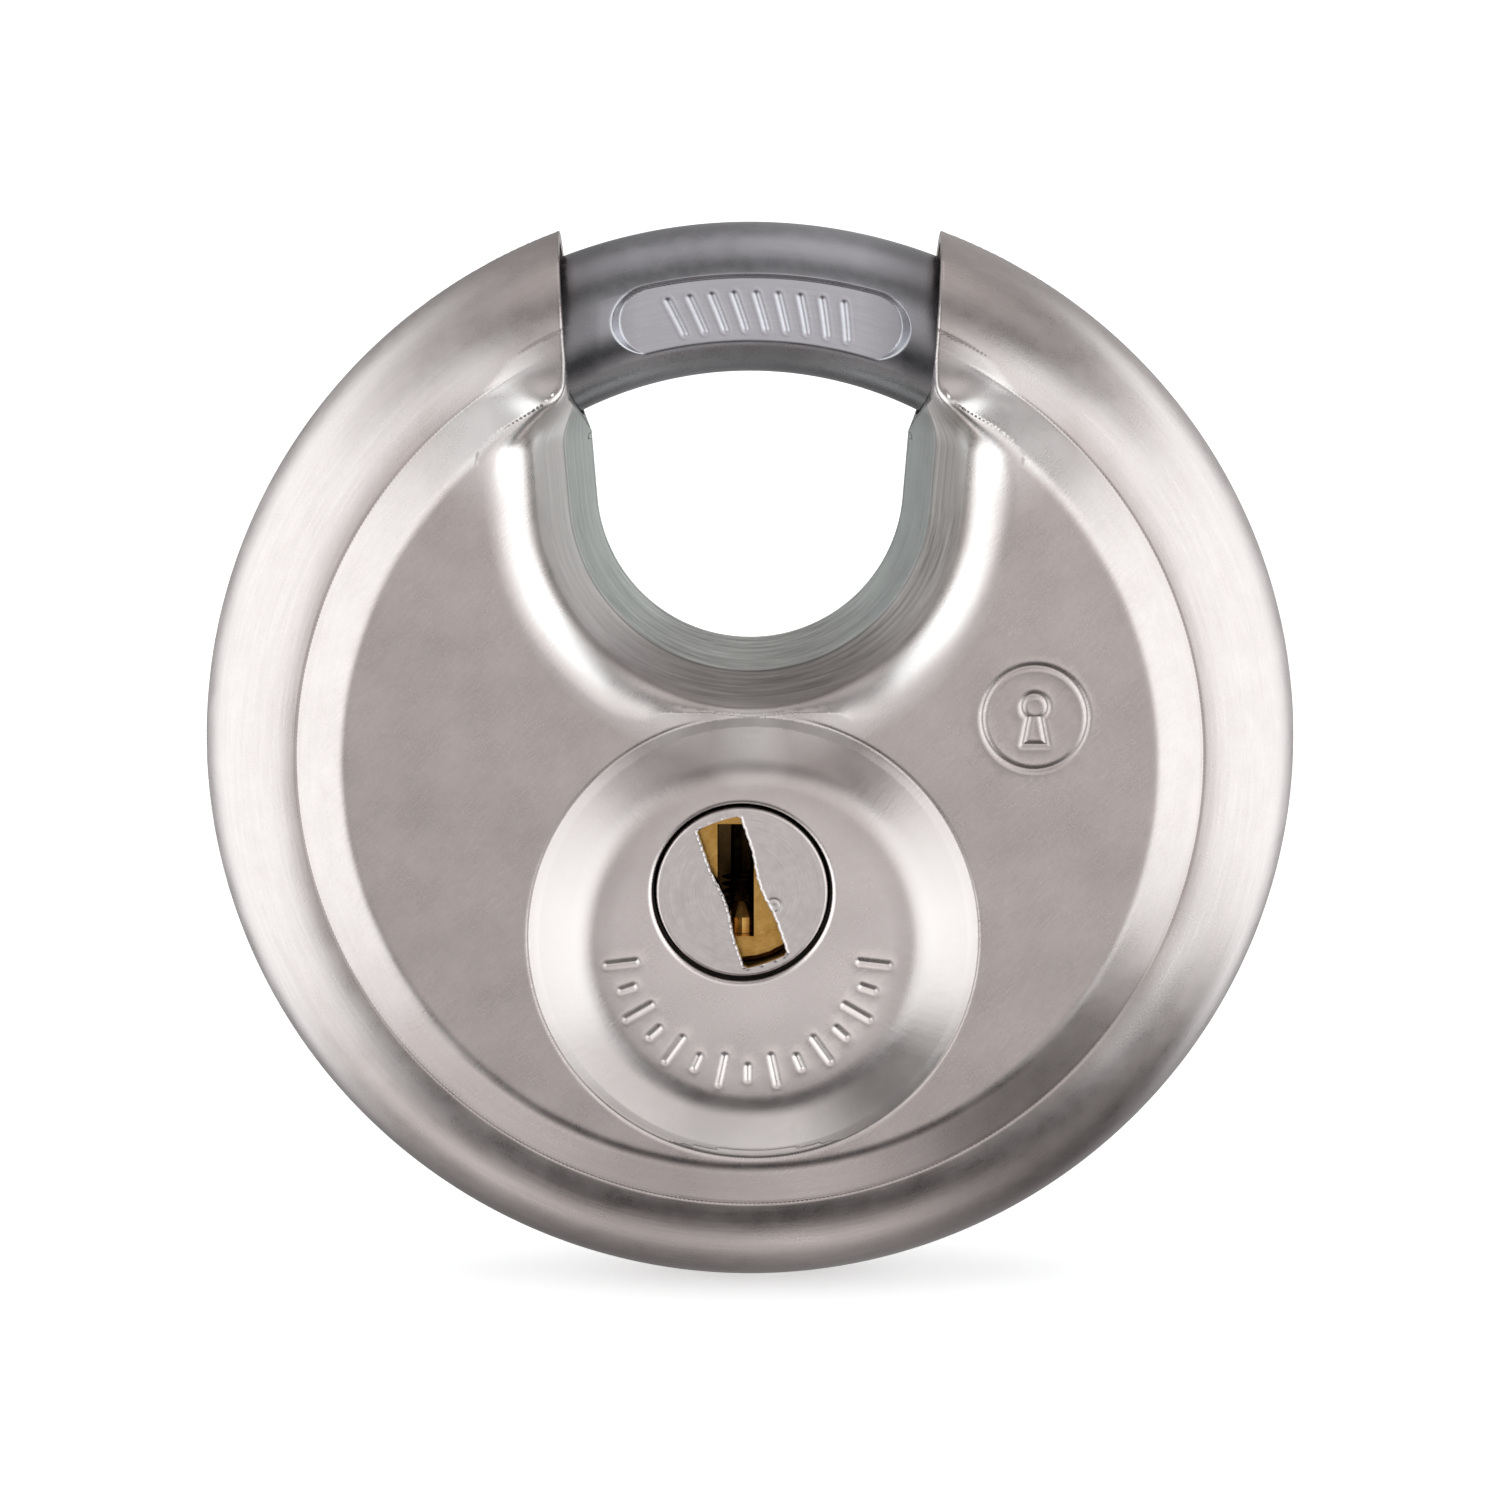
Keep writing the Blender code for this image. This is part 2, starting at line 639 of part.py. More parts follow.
def c_clip(name, groove_r, outer, back, front):
    """A flat spring clip in a groove of the plug's tail, open over a quarter of its round."""
    outline = [(PLUG_X + x, PLUG_Y + y)
               for x, y in sector_outline(groove_r + CLIP_PLAY, outer, -225.0, 45.0)]
    plate(name, outline, back + CLIP_PLAY, front - CLIP_PLAY, SPRING_STEEL)


def crank_lever():
    """An arm keyed to the plug's tail by two flats, with an eye for the drive pin."""
    ends = math.degrees(math.acos((CRANK_HUB_R - CRANK_ARM_R) / CRANK_R))
    hub = arc(CRANK_HUB_R, CRANK_BEARING + ends, CRANK_BEARING + 360.0 - ends, 28,
              PLUG_X, PLUG_Y)
    eye = arc(CRANK_ARM_R, CRANK_BEARING - ends, CRANK_BEARING + ends, 12, DRIVE_X, DRIVE_Y)
    lever = plate("crank_lever", hub + eye, CRANK_BACK, CRANK_FRONT, HARD_STEEL)
    pin_hole = cylinder("drive_pin_hole", DRIVE_PIN_R + 0.1, CRANK_BACK - OVER,
                        CRANK_FRONT + OVER, None, DRIVE_X, DRIVE_Y)
    flat = TAIL_FLAT + 0.1
    radius = TAIL_R + 0.1
    turn = math.degrees(math.acos(flat / radius))
    socket = [(PLUG_X + x, PLUG_Y + y)
              for x, y in arc(radius, CRANK_BEARING + turn, CRANK_BEARING + 180.0 - turn, 12)
              + arc(radius, CRANK_BEARING + 180.0 + turn, CRANK_BEARING + 360.0 - turn, 12)]
    tail_socket = plate("tail_socket", socket, CRANK_BACK - OVER, CRANK_FRONT + OVER, None)
    cut(lever, pin_hole, tail_socket)


def drive_pin():
    cylinder("drive_pin", DRIVE_PIN_R, CRANK_BACK, TAB_FRONT, HARD_STEEL, DRIVE_X, DRIVE_Y)


def stop_places():
    """Where the two pins stand that the crank meets at each end of its turn."""
    bearings = (CRANK_BEARING + STOP_OFFSET, CRANK_BEARING - KEY_TURN - STOP_OFFSET)
    return [polar(STOP_REACH, bearing, PLUG_X, PLUG_Y) for bearing in bearings]


def crank_stops():
    for number, (x, y) in enumerate(stop_places(), 1):
        cylinder(f"crank_stop_{number}", STOP_R, CRANK_BACK, CORE_BACK + 3.8, HARD_STEEL, x, y)


# Shackle


def rivet_places():
    spread = math.degrees(RIVET_SPREAD / RING_R)
    return [polar(RING_R, TAB_BEARING + side * spread) for side in (-1, 1)]


def shackle():
    """A C-shaped rod with a chamfered toe, and a flat behind its heel for the drive tab."""
    heel = TAB_BEARING - HEEL_MARGIN
    path = [(x, y, 0.0) for x, y in arc(RING_R, TOE_BEARING, heel, 36)]
    rod = wire("shackle", path, ROD_R, 5, SHACKLE_STEEL)
    soften = rod.modifiers.new("end_chamfer", "BEVEL")
    soften.width = 0.8 * MM
    soften.segments = 2
    soften.limit_method = "ANGLE"
    soften.angle_limit = math.radians(60)
    flat = box("tab_flat", (TAB_INNER, -TAB_WIDTH / 2 - 0.3, -2 * ROD_R),
               (DISC_R + 5.0, TAB_WIDTH / 2 + 0.3, TAB_FRONT + 0.2), None, TAB_BEARING)
    cut(rod, flat)
    for number, (x, y) in enumerate(rivet_places(), 1):
        cut(rod, cylinder(f"rivet_socket_{number}", RIVET_R + 0.1, TAB_BACK - OVER,
                          RIVET_FRONT + 0.2, None, x, y, steps=16))


def drive_tab():
    """A fork riveted to the shackle, whose open slot straddles the drive pin."""
    tab = box("drive_tab", (TAB_INNER, -TAB_WIDTH / 2, TAB_BACK),
              (TAB_OUTER, TAB_WIDTH / 2, TAB_FRONT), HARD_STEEL, TAB_BEARING)
    half = DRIVE_PIN_R + FORK_PLAY
    slot = box("fork_slot", (TAB_INNER - OVER, -half, TAB_BACK - OVER),
               (PLUG_REACH + CRANK_R + DRIVE_PIN_R + 0.6, half, TAB_FRONT + OVER), None,
               TAB_BEARING)
    cut(tab, slot)
    for number, (x, y) in enumerate(rivet_places(), 1):
        cut(tab, cylinder(f"tab_hole_{number}", RIVET_R + 0.1, TAB_BACK - OVER,
                          TAB_FRONT + OVER, None, x, y, steps=16))
        cylinder(f"tab_rivet_{number}", RIVET_R, TAB_BACK, RIVET_FRONT, HARD_STEEL, x, y,
                 steps=16)


front_shell()
rear_shell()
guide_ring("front_guide_ring", True)
cut(guide_ring("rear_guide_ring", False), tab_sweep_cutter())
lock_core()
rear_plate()
core_screws()
cylinder_housing()
chamber_cover()
plug()
guard_disc()
anti_drill_plate()
pin_stacks()
c_clip("plug_circlip", GROOVE_R, CIRCLIP_R, GROOVE_BACK, GROOVE_FRONT)
c_clip("crank_clip", CLIP_GROOVE_R, CRANK_CLIP_R, CLIP_GROOVE_BACK, CLIP_GROOVE_FRONT)
crank_lever()
drive_pin()
crank_stops()
shackle()
drive_tab()
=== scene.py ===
"""Looks of the disc padlock: finely formed shells, shackle, guard disc and springs on the CAD frame.

Shapes are worked out in the lock's own plan: x to the right, y up towards the shackle and z out
of the front face, in millimetres. place() turns them into the frame's metres, where the front
faces -Y and the shackle is at the top.
"""

import json
import math

import bpy
import numpy as np
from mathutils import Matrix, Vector
from mathutils.geometry import delaunay_2d_cdt
from mathutils.kdtree import KDTree


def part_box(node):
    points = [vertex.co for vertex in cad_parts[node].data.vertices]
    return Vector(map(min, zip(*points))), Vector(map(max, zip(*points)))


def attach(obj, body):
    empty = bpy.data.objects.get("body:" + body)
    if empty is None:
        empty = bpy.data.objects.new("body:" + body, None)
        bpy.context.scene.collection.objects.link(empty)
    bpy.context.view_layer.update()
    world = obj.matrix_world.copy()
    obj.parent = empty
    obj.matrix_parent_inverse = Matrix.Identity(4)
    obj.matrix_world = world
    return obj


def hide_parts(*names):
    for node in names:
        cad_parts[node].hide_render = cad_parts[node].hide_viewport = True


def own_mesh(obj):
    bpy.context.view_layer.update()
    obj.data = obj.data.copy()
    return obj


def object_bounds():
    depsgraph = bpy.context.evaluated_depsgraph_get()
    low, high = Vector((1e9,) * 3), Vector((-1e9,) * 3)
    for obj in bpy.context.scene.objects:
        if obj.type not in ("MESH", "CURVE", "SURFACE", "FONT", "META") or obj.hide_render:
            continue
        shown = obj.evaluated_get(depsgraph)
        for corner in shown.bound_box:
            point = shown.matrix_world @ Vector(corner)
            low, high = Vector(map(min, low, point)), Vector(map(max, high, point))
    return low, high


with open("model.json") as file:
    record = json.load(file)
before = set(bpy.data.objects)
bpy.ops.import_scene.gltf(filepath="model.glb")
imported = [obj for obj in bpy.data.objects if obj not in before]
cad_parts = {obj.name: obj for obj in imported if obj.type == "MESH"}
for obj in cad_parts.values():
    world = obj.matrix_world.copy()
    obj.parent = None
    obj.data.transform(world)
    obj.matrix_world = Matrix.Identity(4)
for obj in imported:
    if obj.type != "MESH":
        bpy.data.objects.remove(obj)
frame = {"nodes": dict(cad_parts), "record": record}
CAD_BOX = [list(corner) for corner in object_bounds()]

MM = 0.001

# Disc
DISC_R = 35.0
RING_R = 28.65
RIM_DEPTH = 8.4
FACE_DEPTH = 10.6
SHEET = 1.2
SEAM_HALF = 0.04
EDGE_ROUND = 0.22
HOLE_ROUND = 0.3
CREASE_DEPTH, CREASE_HALF = 0.05, 0.09
WAVE_DEPTH = 0.022
CREST_R = 27.9
CREST_DEPTH = RIM_DEPTH / math.sqrt(1 - ((RING_R - CREST_R) / (DISC_R - CREST_R)) ** 2)
SHOULDER_SLOPE = math.tan(math.radians(39.0))
ROD_R = 4.75
CHANNEL_R = 5.02

# Boss: the circles at its foot and at its top have centres of their own
BOSS_X = 0.2
BOSS_FOOT_Y, BOSS_FOOT_R = -11.0, 14.15
BOSS_TOP_Y, BOSS_TOP_R = -10.65, 10.6
BOSS_RISE = 2.8
PLUG_X, PLUG_Y = -0.5, -7.6
KEYHOLE_R = 5.67

# Throat
THROAT_R, THROAT_Y, THROAT_RISE = 9.8, 16.5, 0.15
THROAT_LEAN = math.radians(4.7)
WALL_KNEE, WALL_KNEE_DEPTH = 1.6, 5.3
WALL_EDGE, WALL_EDGE_SLOPE = 3.6, math.radians(58.0)
FILLET_R, SADDLE_FILLET_R = 4.0, 1.1
SADDLE_SLOPE = math.tan(math.radians(44.0))
CHEEK_X, CHEEK_Y = 10.13, 20.05
GATE_X, GATE_Y, GATE_SLOPE = 11.42, 22.8, 0.075
BULGE_X, BULGE_Y, BULGE_HEIGHT = 13.2, 23.3, 0.35

SEAM_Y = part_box("rear_shell")[1].y - FACE_DEPTH * MM


def place(points):
    """Plan millimetres (x, y, z) to frame metres."""
    points = np.asarray(points, float)
    return np.stack([points[:, 0] * MM, SEAM_Y - points[:, 2] * MM, points[:, 1] * MM], axis=1)


def smooth_min(a, b, width):
    """The lower of two heights, with the corner between them rounded over width."""
    mix = np.clip(0.5 + 0.5 * (b - a) / width, 0.0, 1.0)
    return b * (1 - mix) + a * mix - width * mix * (1 - mix)


def smooth_max(a, b, width):
    return -smooth_min(-a, -b, width)


def smooth_step(low, high, value):
    t = np.clip((value - low) / (high - low), 0.0, 1.0)
    return t * t * (3 - 2 * t)


# Shape of a shell's outside, as height above the seam plane


def throat_spread(x, y):
    """How far a plan point lies outside the throat's outline at the seam."""
    spread = np.zeros_like(x)
    for _ in range(3):
        up = y - THROAT_Y - THROAT_RISE * np.maximum(spread, 0.0)
        along = np.abs(x) * math.sin(THROAT_LEAN) + up * math.cos(THROAT_LEAN)
        across = np.abs(x) * math.cos(THROAT_LEAN) - up * math.sin(THROAT_LEAN)
        spread = np.where(along > 0, across, np.hypot(x, up)) - THROAT_R
    return spread


def throat_height(spread, x):
    """Waisted wall, a bend, and the round fillet into the face, which is tighter at the saddle."""
    round_r = SADDLE_FILLET_R + (FILLET_R - SADDLE_FILLET_R) * smooth_step(1.5, 9.5, np.abs(x))
    reach = WALL_EDGE + round_r * math.sin(WALL_EDGE_SLOPE)
    edge_depth = FACE_DEPTH - round_r * (1 - math.cos(WALL_EDGE_SLOPE))
    inner = WALL_KNEE_DEPTH * spread / WALL_KNEE
    slope = (edge_depth - WALL_KNEE_DEPTH) / (WALL_EDGE - WALL_KNEE)
    wall = smooth_min(inner, WALL_KNEE_DEPTH + (spread - WALL_KNEE) * slope, 0.3)
    short = np.clip(reach - spread, 0.0, round_r)
    fillet = FACE_DEPTH - round_r + np.sqrt(round_r ** 2 - short ** 2)
    beyond = np.maximum(spread - reach, 0.0)
    outside = np.where(spread > WALL_EDGE, fillet, np.minimum(wall, edge_depth)) + 1.5 * beyond ** 1.2
    straight = edge_depth + np.maximum(spread - WALL_EDGE, 0.0) * SADDLE_SLOPE
    saddle = smooth_step(6.5, 3.0, np.abs(x)) * (spread > WALL_EDGE)
    return outside + saddle * np.maximum(straight - outside, 0.0)


def boss_level(x, y):
    """0 on the foot circle and 1 on the top circle, whose centres differ."""
    level = np.zeros_like(x)
    for _ in range(4):
        centre = BOSS_FOOT_Y + (BOSS_TOP_Y - BOSS_FOOT_Y) * np.clip(level, 0.0, 1.0)
        reach = np.hypot(x - BOSS_X, y - centre)
        level = (BOSS_FOOT_R - reach) / (BOSS_FOOT_R - BOSS_TOP_R)
    return level


def boss_height(x, y):
    """A low foot, a steeper side, a rounded edge and a slightly crowned top."""
    level = boss_level(x, y)
    band = 0.17
    foot = 0.75 * BOSS_RISE * level
    side = 0.75 * BOSS_RISE * band + (level - band) * BOSS_RISE * (1 - 0.75 * band) / (1 - band)
    slope = np.maximum(foot, side) * (level > band) + foot * (level <= band)
    crown = 0.14 * (1 - np.clip((2.8 - level) / 1.8, 0.0, 1.0) ** 2)
    top = BOSS_RISE - 0.14 + np.where(level > 1.0, crown, 0.0)
    return FACE_DEPTH + smooth_min(slope, top, 0.75)


def dome_height(radius, x, y):
    """Round rim, a crease, a sloping shoulder and the flat face; the crease dies out at the gate.

    The shoulder's line drops away beyond the crease, so that the rim alone closes the edge.
    """
    off = (radius - CREST_R) / (DISC_R - CREST_R)
    rim = CREST_DEPTH * np.sqrt(np.clip(1 - off ** 2, 0.0, 1.0))
    line = RIM_DEPTH + (RING_R - radius) * SHOULDER_SLOPE - 3.0 * np.maximum(radius - RING_R - 1.0, 0.0)
    shoulder = smooth_min(line, np.full_like(x, FACE_DEPTH), 0.4)
    by_gate = smooth_step(17.5, 12.5, np.abs(x)) * smooth_step(15.0, 21.0, y)
    groove = CREASE_DEPTH * (1 - by_gate) * np.exp(-((radius - RING_R) / CREASE_HALF) ** 2)
    return smooth_max(rim, shoulder, 0.08 + 1.3 * by_gate) - groove


def unevenness(x, y):
    """The sheet's slow waves, always inwards, which bend the reflections a little."""
    waves = np.sin(0.45 * x + 0.3 * y + 1.0) * np.sin(0.4 * y - 0.25 * x)
    waves = waves + 0.5 * np.sin(0.9 * x - 0.5 * y) * np.sin(0.8 * y + 0.3 * x + 2.0)
    return WAVE_DEPTH * (waves - 1.5)


def edge_distance(x, y):
    """Distance to the cut ends of the sheet, beside the shackle."""
    x = np.abs(x)
    head = (GATE_X + (DISC_R - GATE_Y) * GATE_SLOPE, DISC_R)
    return np.minimum(stroke_distance(x, y, (CHEEK_X, CHEEK_Y), (GATE_X, GATE_Y)),
                      stroke_distance(x, y, (GATE_X, GATE_Y), head))


def shell_height(x, y, front):
    """Height of a half shell's outside: rim and face, boss, throat wall and rounded edges."""
    radius = np.hypot(x, y)
    face = dome_height(radius, x, y)
    if front:
        boss = np.where(boss_level(x, y) > -0.25, boss_height(x, y), 0.0)
        face = np.where(radius < RING_R - 4.0, np.maximum(face, boss), face)
    fade = 1 - 0.75 * smooth_step(19.6, 24.0, y)
    spread = throat_spread(x, y) / fade
    blend = 0.01 + 0.9 * smooth_step(17.5, 23.0, y)
    if front:
        blend = blend + 0.5 * smooth_step(FACE_DEPTH, FACE_DEPTH + 0.8, face)
    height = smooth_min(face, throat_height(spread, x), blend)
    if front:
        sides = smooth_step(2.5, 5.5, np.hypot(x, np.minimum(y - 3.0, 0.0)))
        height = height - 0.045 * np.exp(-((boss_level(x, y) + 0.03) / 0.03) ** 2) * sides * (y < 3.5)
    calm = smooth_step(33.0, 29.0, radius) * smooth_step(-0.5, 3.0, spread)
    height = height + unevenness(x, y) * calm
    from_bulge = ((np.abs(x) - BULGE_X) / 1.5) ** 2 + ((y - BULGE_Y) / 0.95) ** 2
    height = height + BULGE_HEIGHT * np.exp(-from_bulge)
    inset = np.clip(edge_distance(x, y), 0.0, EDGE_ROUND)
    height = height - (EDGE_ROUND - np.sqrt(EDGE_ROUND ** 2 - (EDGE_ROUND - inset) ** 2))
    if front:
        hole = np.clip(np.hypot(x - PLUG_X, y - PLUG_Y) - KEYHOLE_R, 0.0, HOLE_ROUND)
        height = height - (HOLE_ROUND - np.sqrt(HOLE_ROUND ** 2 - (HOLE_ROUND - hole) ** 2)) * 0.7
        height = height - stamped(x, y)
    return np.maximum(height, SEAM_HALF)


# Generic stamped marks


def stroke_distance(x, y, start, end):
    """Distance to a straight stroke between two points."""
    dx, dy = end[0] - start[0], end[1] - start[1]
    t = np.clip(((x - start[0]) * dx + (y - start[1]) * dy) / (dx * dx + dy * dy), 0.0, 1.0)
    return np.hypot(x - start[0] - t * dx, y - start[1] - t * dy)


TICK_X, TICK_Y = -0.15, -11.1
TICK_COUNT = 15
TICK_FROM, TICK_TO = 187.0, 353.0
MARK_X, MARK_Y, MARK_R = 17.9, 3.1, 3.3


def tick_strokes():
    strokes = []
    for i in range(TICK_COUNT):
        angle = math.radians(TICK_FROM + (TICK_TO - TICK_FROM) * i / (TICK_COUNT - 1))
        inner, outer = (7.1, 8.9) if i % 2 == 0 else (7.6, 8.4)
        strokes.append(((TICK_X + inner * math.cos(angle), TICK_Y + inner * math.sin(angle)),
                        (TICK_X + outer * math.cos(angle), TICK_Y + outer * math.sin(angle))))
    return strokes


def mark_distance(x, y):
    """A small keyhole sign in a ring."""
    ring = np.abs(np.hypot(x - MARK_X, y - MARK_Y) - MARK_R)
    eye = np.abs(np.hypot(x - MARK_X, y - MARK_Y - 0.7) - 0.8)
    eye = np.where((y < MARK_Y + 0.1) & (np.abs(x - MARK_X) < 0.45), 9.0, eye)
    nearest = np.minimum(ring, eye)
    for side in (-1, 1):
        leg = stroke_distance(x, y, (MARK_X + 0.42 * side, MARK_Y + 0.02),
                              (MARK_X + 0.75 * side, MARK_Y - 1.7))
        nearest = np.minimum(nearest, leg)
    base = stroke_distance(x, y, (MARK_X - 0.75, MARK_Y - 1.7), (MARK_X + 0.75, MARK_Y - 1.7))
    return np.minimum(nearest, base)


def stamp_distance(x, y):
    nearest = mark_distance(x, y)
    for start, end in tick_strokes():
        nearest = np.minimum(nearest, stroke_distance(x, y, start, end))
    return nearest


def stamped(x, y):
    """Depth of the stamped strokes: round-bottomed, with a faint raised lip."""
    depth = np.zeros_like(x)
    near = (np.hypot(x - MARK_X, y - MARK_Y) < MARK_R + 1.0) | (np.hypot(x - TICK_X, y - TICK_Y) < 9.6)
    away = stamp_distance(x[near], y[near])
    depth[near] = 0.065 * np.exp(-((away / 0.15) ** 2)) - 0.012 * np.exp(-(((away - 0.34) / 0.12) ** 2))
    return depth


# Plan points and solids


def rings(x, y, radii, step, start=0.0, end=360.0):
    """Points round each radius, about step apart."""
    found = []
    for turn, radius in enumerate(radii):
        count = max(8, int(math.radians(end - start) * radius / step))
        angle = np.radians(start + (end - start) * (np.arange(count) + 0.5 * (turn % 2)) / count)
        found.append(np.stack([x + radius * np.cos(angle), y + radius * np.sin(angle)], axis=1))
    return np.concatenate(found)


def grid(low, high, step):
    """A staggered grid of plan points between two corners."""
    xs = np.arange(low[0], high[0], step)
    ys = np.arange(low[1], high[1], step * 0.866)
    gx, gy = np.meshgrid(xs, ys)
    gx[1::2] += step / 2
    return np.stack([gx.ravel(), gy.ravel()], axis=1)


def polyline(points, step):
    """Points along straight legs, about step apart, without the last point."""
    found = []
    for start, end in zip(points, points[1:]):
        count = max(1, int(math.dist(start, end) / step))
        share = np.arange(count)[:, None] / count
        found.append(np.asarray(start) * (1 - share) + np.asarray(end) * share)
    return np.concatenate(found)


def arc_points(x, y, radius, start, end, step):
    count = max(2, int(abs(end - start) * radius / step))
    angle = start + (end - start) * np.arange(count + 1) / count
    return np.stack([x + radius * np.cos(angle), y + radius * np.sin(angle)], axis=1)


def throat_curve(spread, top, step):
    """One outline of the throat, from the top of its right side round to the top of its left."""
    centre = THROAT_Y + THROAT_RISE * spread
    bowl = arc_points(0.0, centre, THROAT_R + spread, -THROAT_LEAN, THROAT_LEAN - math.pi, step)
    side_x = bowl[0, 0] + (top - bowl[0, 1]) * math.tan(THROAT_LEAN)
    right = polyline([(side_x, top), tuple(bowl[0])], step)
    left = polyline([tuple(bowl[-1]), (-side_x, top)], step)
    return np.concatenate([right, bowl[:-1], left, [(-side_x, top)]])


def shell_outline(step):
    """The shell's plan: rim, two gate ends, notches for the shackle, and the throat."""
    head_x = GATE_X
    for _ in range(5):
        head_y = math.sqrt(DISC_R ** 2 - head_x ** 2)
        head_x = GATE_X + (head_y - GATE_Y) * GATE_SLOPE
    start = math.atan2(head_y, head_x)
    rim = arc_points(0.0, 0.0, DISC_R, start, -math.pi - start, step)
    throat = throat_curve(0.0, CHEEK_Y, step)
    left = polyline([(-head_x, head_y), (-GATE_X, GATE_Y), tuple(throat[-1])], 0.15)
    right = polyline([tuple(throat[0]), (GATE_X, GATE_Y), (head_x, head_y)], 0.15)
    return np.concatenate([rim[:-1], left, throat[::-1][:-1], right])


def inside_polygon(points, loop):
    """Even-odd test of many points against one closed outline."""
    x, y = points[:, 0], points[:, 1]
    found = np.zeros(len(points), bool)
    ax, ay = loop[:, 0], loop[:, 1]
    bx, by = np.roll(ax, -1), np.roll(ay, -1)
    for x0, y0, x1, y1 in zip(ax, ay, bx, by):
        if y0 == y1:
            continue
        crosses = (y0 > y) != (y1 > y)
        found ^= crosses & (x < (x1 - x0) * (y - y0) / (y1 - y0) + x0)
    return found


def nearest_distance(points, loop):
    """Distance from each plan point to the nearest point of an outline."""
    tree = KDTree(len(loop))
    for i, (x, y) in enumerate(loop):
        tree.insert((x, y, 0.0), i)
    tree.balance()
    return np.array([tree.find((x, y, 0.0))[2] for x, y in points])


def surface_normals(height, x, y):
    """Unit normals of a height field, from small steps each way."""
    step = 0.004
    slope_x = (height(x + step, y) - height(x - step, y)) / (2 * step)
    slope_y = (height(x, y + step) - height(x, y - step)) / (2 * step)
    normal = np.stack([-slope_x, -slope_y, np.ones_like(x)], axis=1)
    return normal / np.linalg.norm(normal, axis=1, keepdims=True)


def mesh_object(name, points, faces, corner_normals=None):
    """A mesh object from frame-space points, triangles and, if given, a normal per corner."""
    mesh = bpy.data.meshes.new(name)
    mesh.vertices.add(len(points))
    mesh.vertices.foreach_set("co", np.asarray(points, np.float32).ravel())
    mesh.loops.add(3 * len(faces))
    mesh.loops.foreach_set("vertex_index", np.asarray(faces, np.int32).ravel())
    mesh.polygons.add(len(faces))
    mesh.polygons.foreach_set("loop_start", np.arange(0, 3 * len(faces), 3, dtype=np.int32))
    mesh.update(calc_edges=True)
    mesh.shade_smooth()
    if corner_normals is not None:
        mesh.normals_split_custom_set(np.asarray(corner_normals, np.float32))
    obj = bpy.data.objects.new(name, mesh)
    bpy.context.scene.collection.objects.link(obj)
    return obj


def relief_solid(name, loops, points, top, bottom, fix_normals=None, flip=False):
    """A closed solid over a plan: a fine top surface, an underside, and walls along each outline."""
    outline = loops[0]
    keep = inside_polygon(points, outline)
    for hole in loops[1:]:
        keep &= ~inside_polygon(points, hole)
    points = points[keep]
    points = points[nearest_distance(points, np.concatenate(loops)) > 0.03]
    plan = np.concatenate(loops + [points])
    edges = []
    first = 0
    for loop in loops:
        count = len(loop)
        edges += [(first + i, first + (i + 1) % count) for i in range(count)]
        first += count
    made = delaunay_2d_cdt([Vector((float(x), float(y))) for x, y in plan], edges, [], 0, 1e-7, True)
    plan = np.array([tuple(v) for v in made[0]])
    faces = np.array(made[2], int)
    centres = plan[faces].mean(axis=1)
    keep = inside_polygon(centres, outline)
    for hole in loops[1:]:
        keep &= ~inside_polygon(centres, hole)
    faces = faces[keep]
    x, y = plan[:, 0], plan[:, 1]
    high = top(x, y)
    low = np.minimum(bottom(x, y), high)
    ends = np.concatenate([faces[:, [0, 1]], faces[:, [1, 2]], faces[:, [2, 0]]])
    keys = ends[:, 0] * len(plan) + ends[:, 1]
    back = ends[:, 1] * len(plan) + ends[:, 0]
    rim = ends[~np.isin(keys, back)]
    count = len(plan)
    used = np.zeros(count, bool)
    used[faces.ravel()] = True
    on_rim = np.zeros(count, bool)
    on_rim[rim.ravel()] = True
    low = np.where(on_rim | (high - low > 0.02), low, high - 0.02)
    shut = on_rim & (high - low < 0.005)
    lower = np.where(shut, np.arange(count), np.arange(count) + count)
    solid = np.concatenate([np.stack([x, y, high], 1), np.stack([x, y, low], 1)])
    top_normals = surface_normals(top, x, y)
    low_normals = -surface_normals(bottom, x, y)
    if fix_normals is not None:
        top_normals = fix_normals(x, y, high, top_normals)
    under = lower[faces[:, ::-1]]
    walls, wall_normals = [], []
    for a, b in rim:
        way = plan[b] - plan[a]
        out = np.array([way[1], -way[0], 0.0]) / max(np.hypot(*way), 1e-9)
        quad = [(lower[a], lower[b], b), (lower[a], b, a)]
        for tri in quad:
            if len(set(tri)) == 3:
                walls.append(tri)
                wall_normals += [out] * 3
    faces_all = [faces, under]
    normals_all = [top_normals[faces].reshape(-1, 3), low_normals[faces[:, ::-1]].reshape(-1, 3)]
    if walls:
        faces_all.append(np.array(walls))
        normals_all.append(np.array(wall_normals))
    faces_all = np.concatenate(faces_all)
    normals_all = np.concatenate(normals_all)
    index = np.full(2 * count, -1)
    live = np.unique(faces_all)
    index[live] = np.arange(len(live))
    solid = solid[live]
    faces_all = index[faces_all]
    if flip:
        solid = solid * (-1, 1, -1)
        normals_all = normals_all * (-1, 1, -1)
    world_normals = np.stack([normals_all[:, 0], -normals_all[:, 2], normals_all[:, 1]], axis=1)
    return mesh_object(name, place(solid), faces_all, world_normals)


def rim_normals(x, y, height, normals):
    """Exact normals where the rim turns upright, which small plan steps can't give."""
    radius = np.hypot(x, y)
    across = (radius - CREST_R) / (DISC_R - CREST_R) ** 2
    up = np.maximum(height, 0.0) / CREST_DEPTH ** 2
    exact = np.stack([x / radius * across, y / radius * across, up], axis=1)
    exact /= np.linalg.norm(exact, axis=1, keepdims=True)
    steep = (radius > RING_R + 5.0)[:, None]
    return np.where(steep, exact, normals)


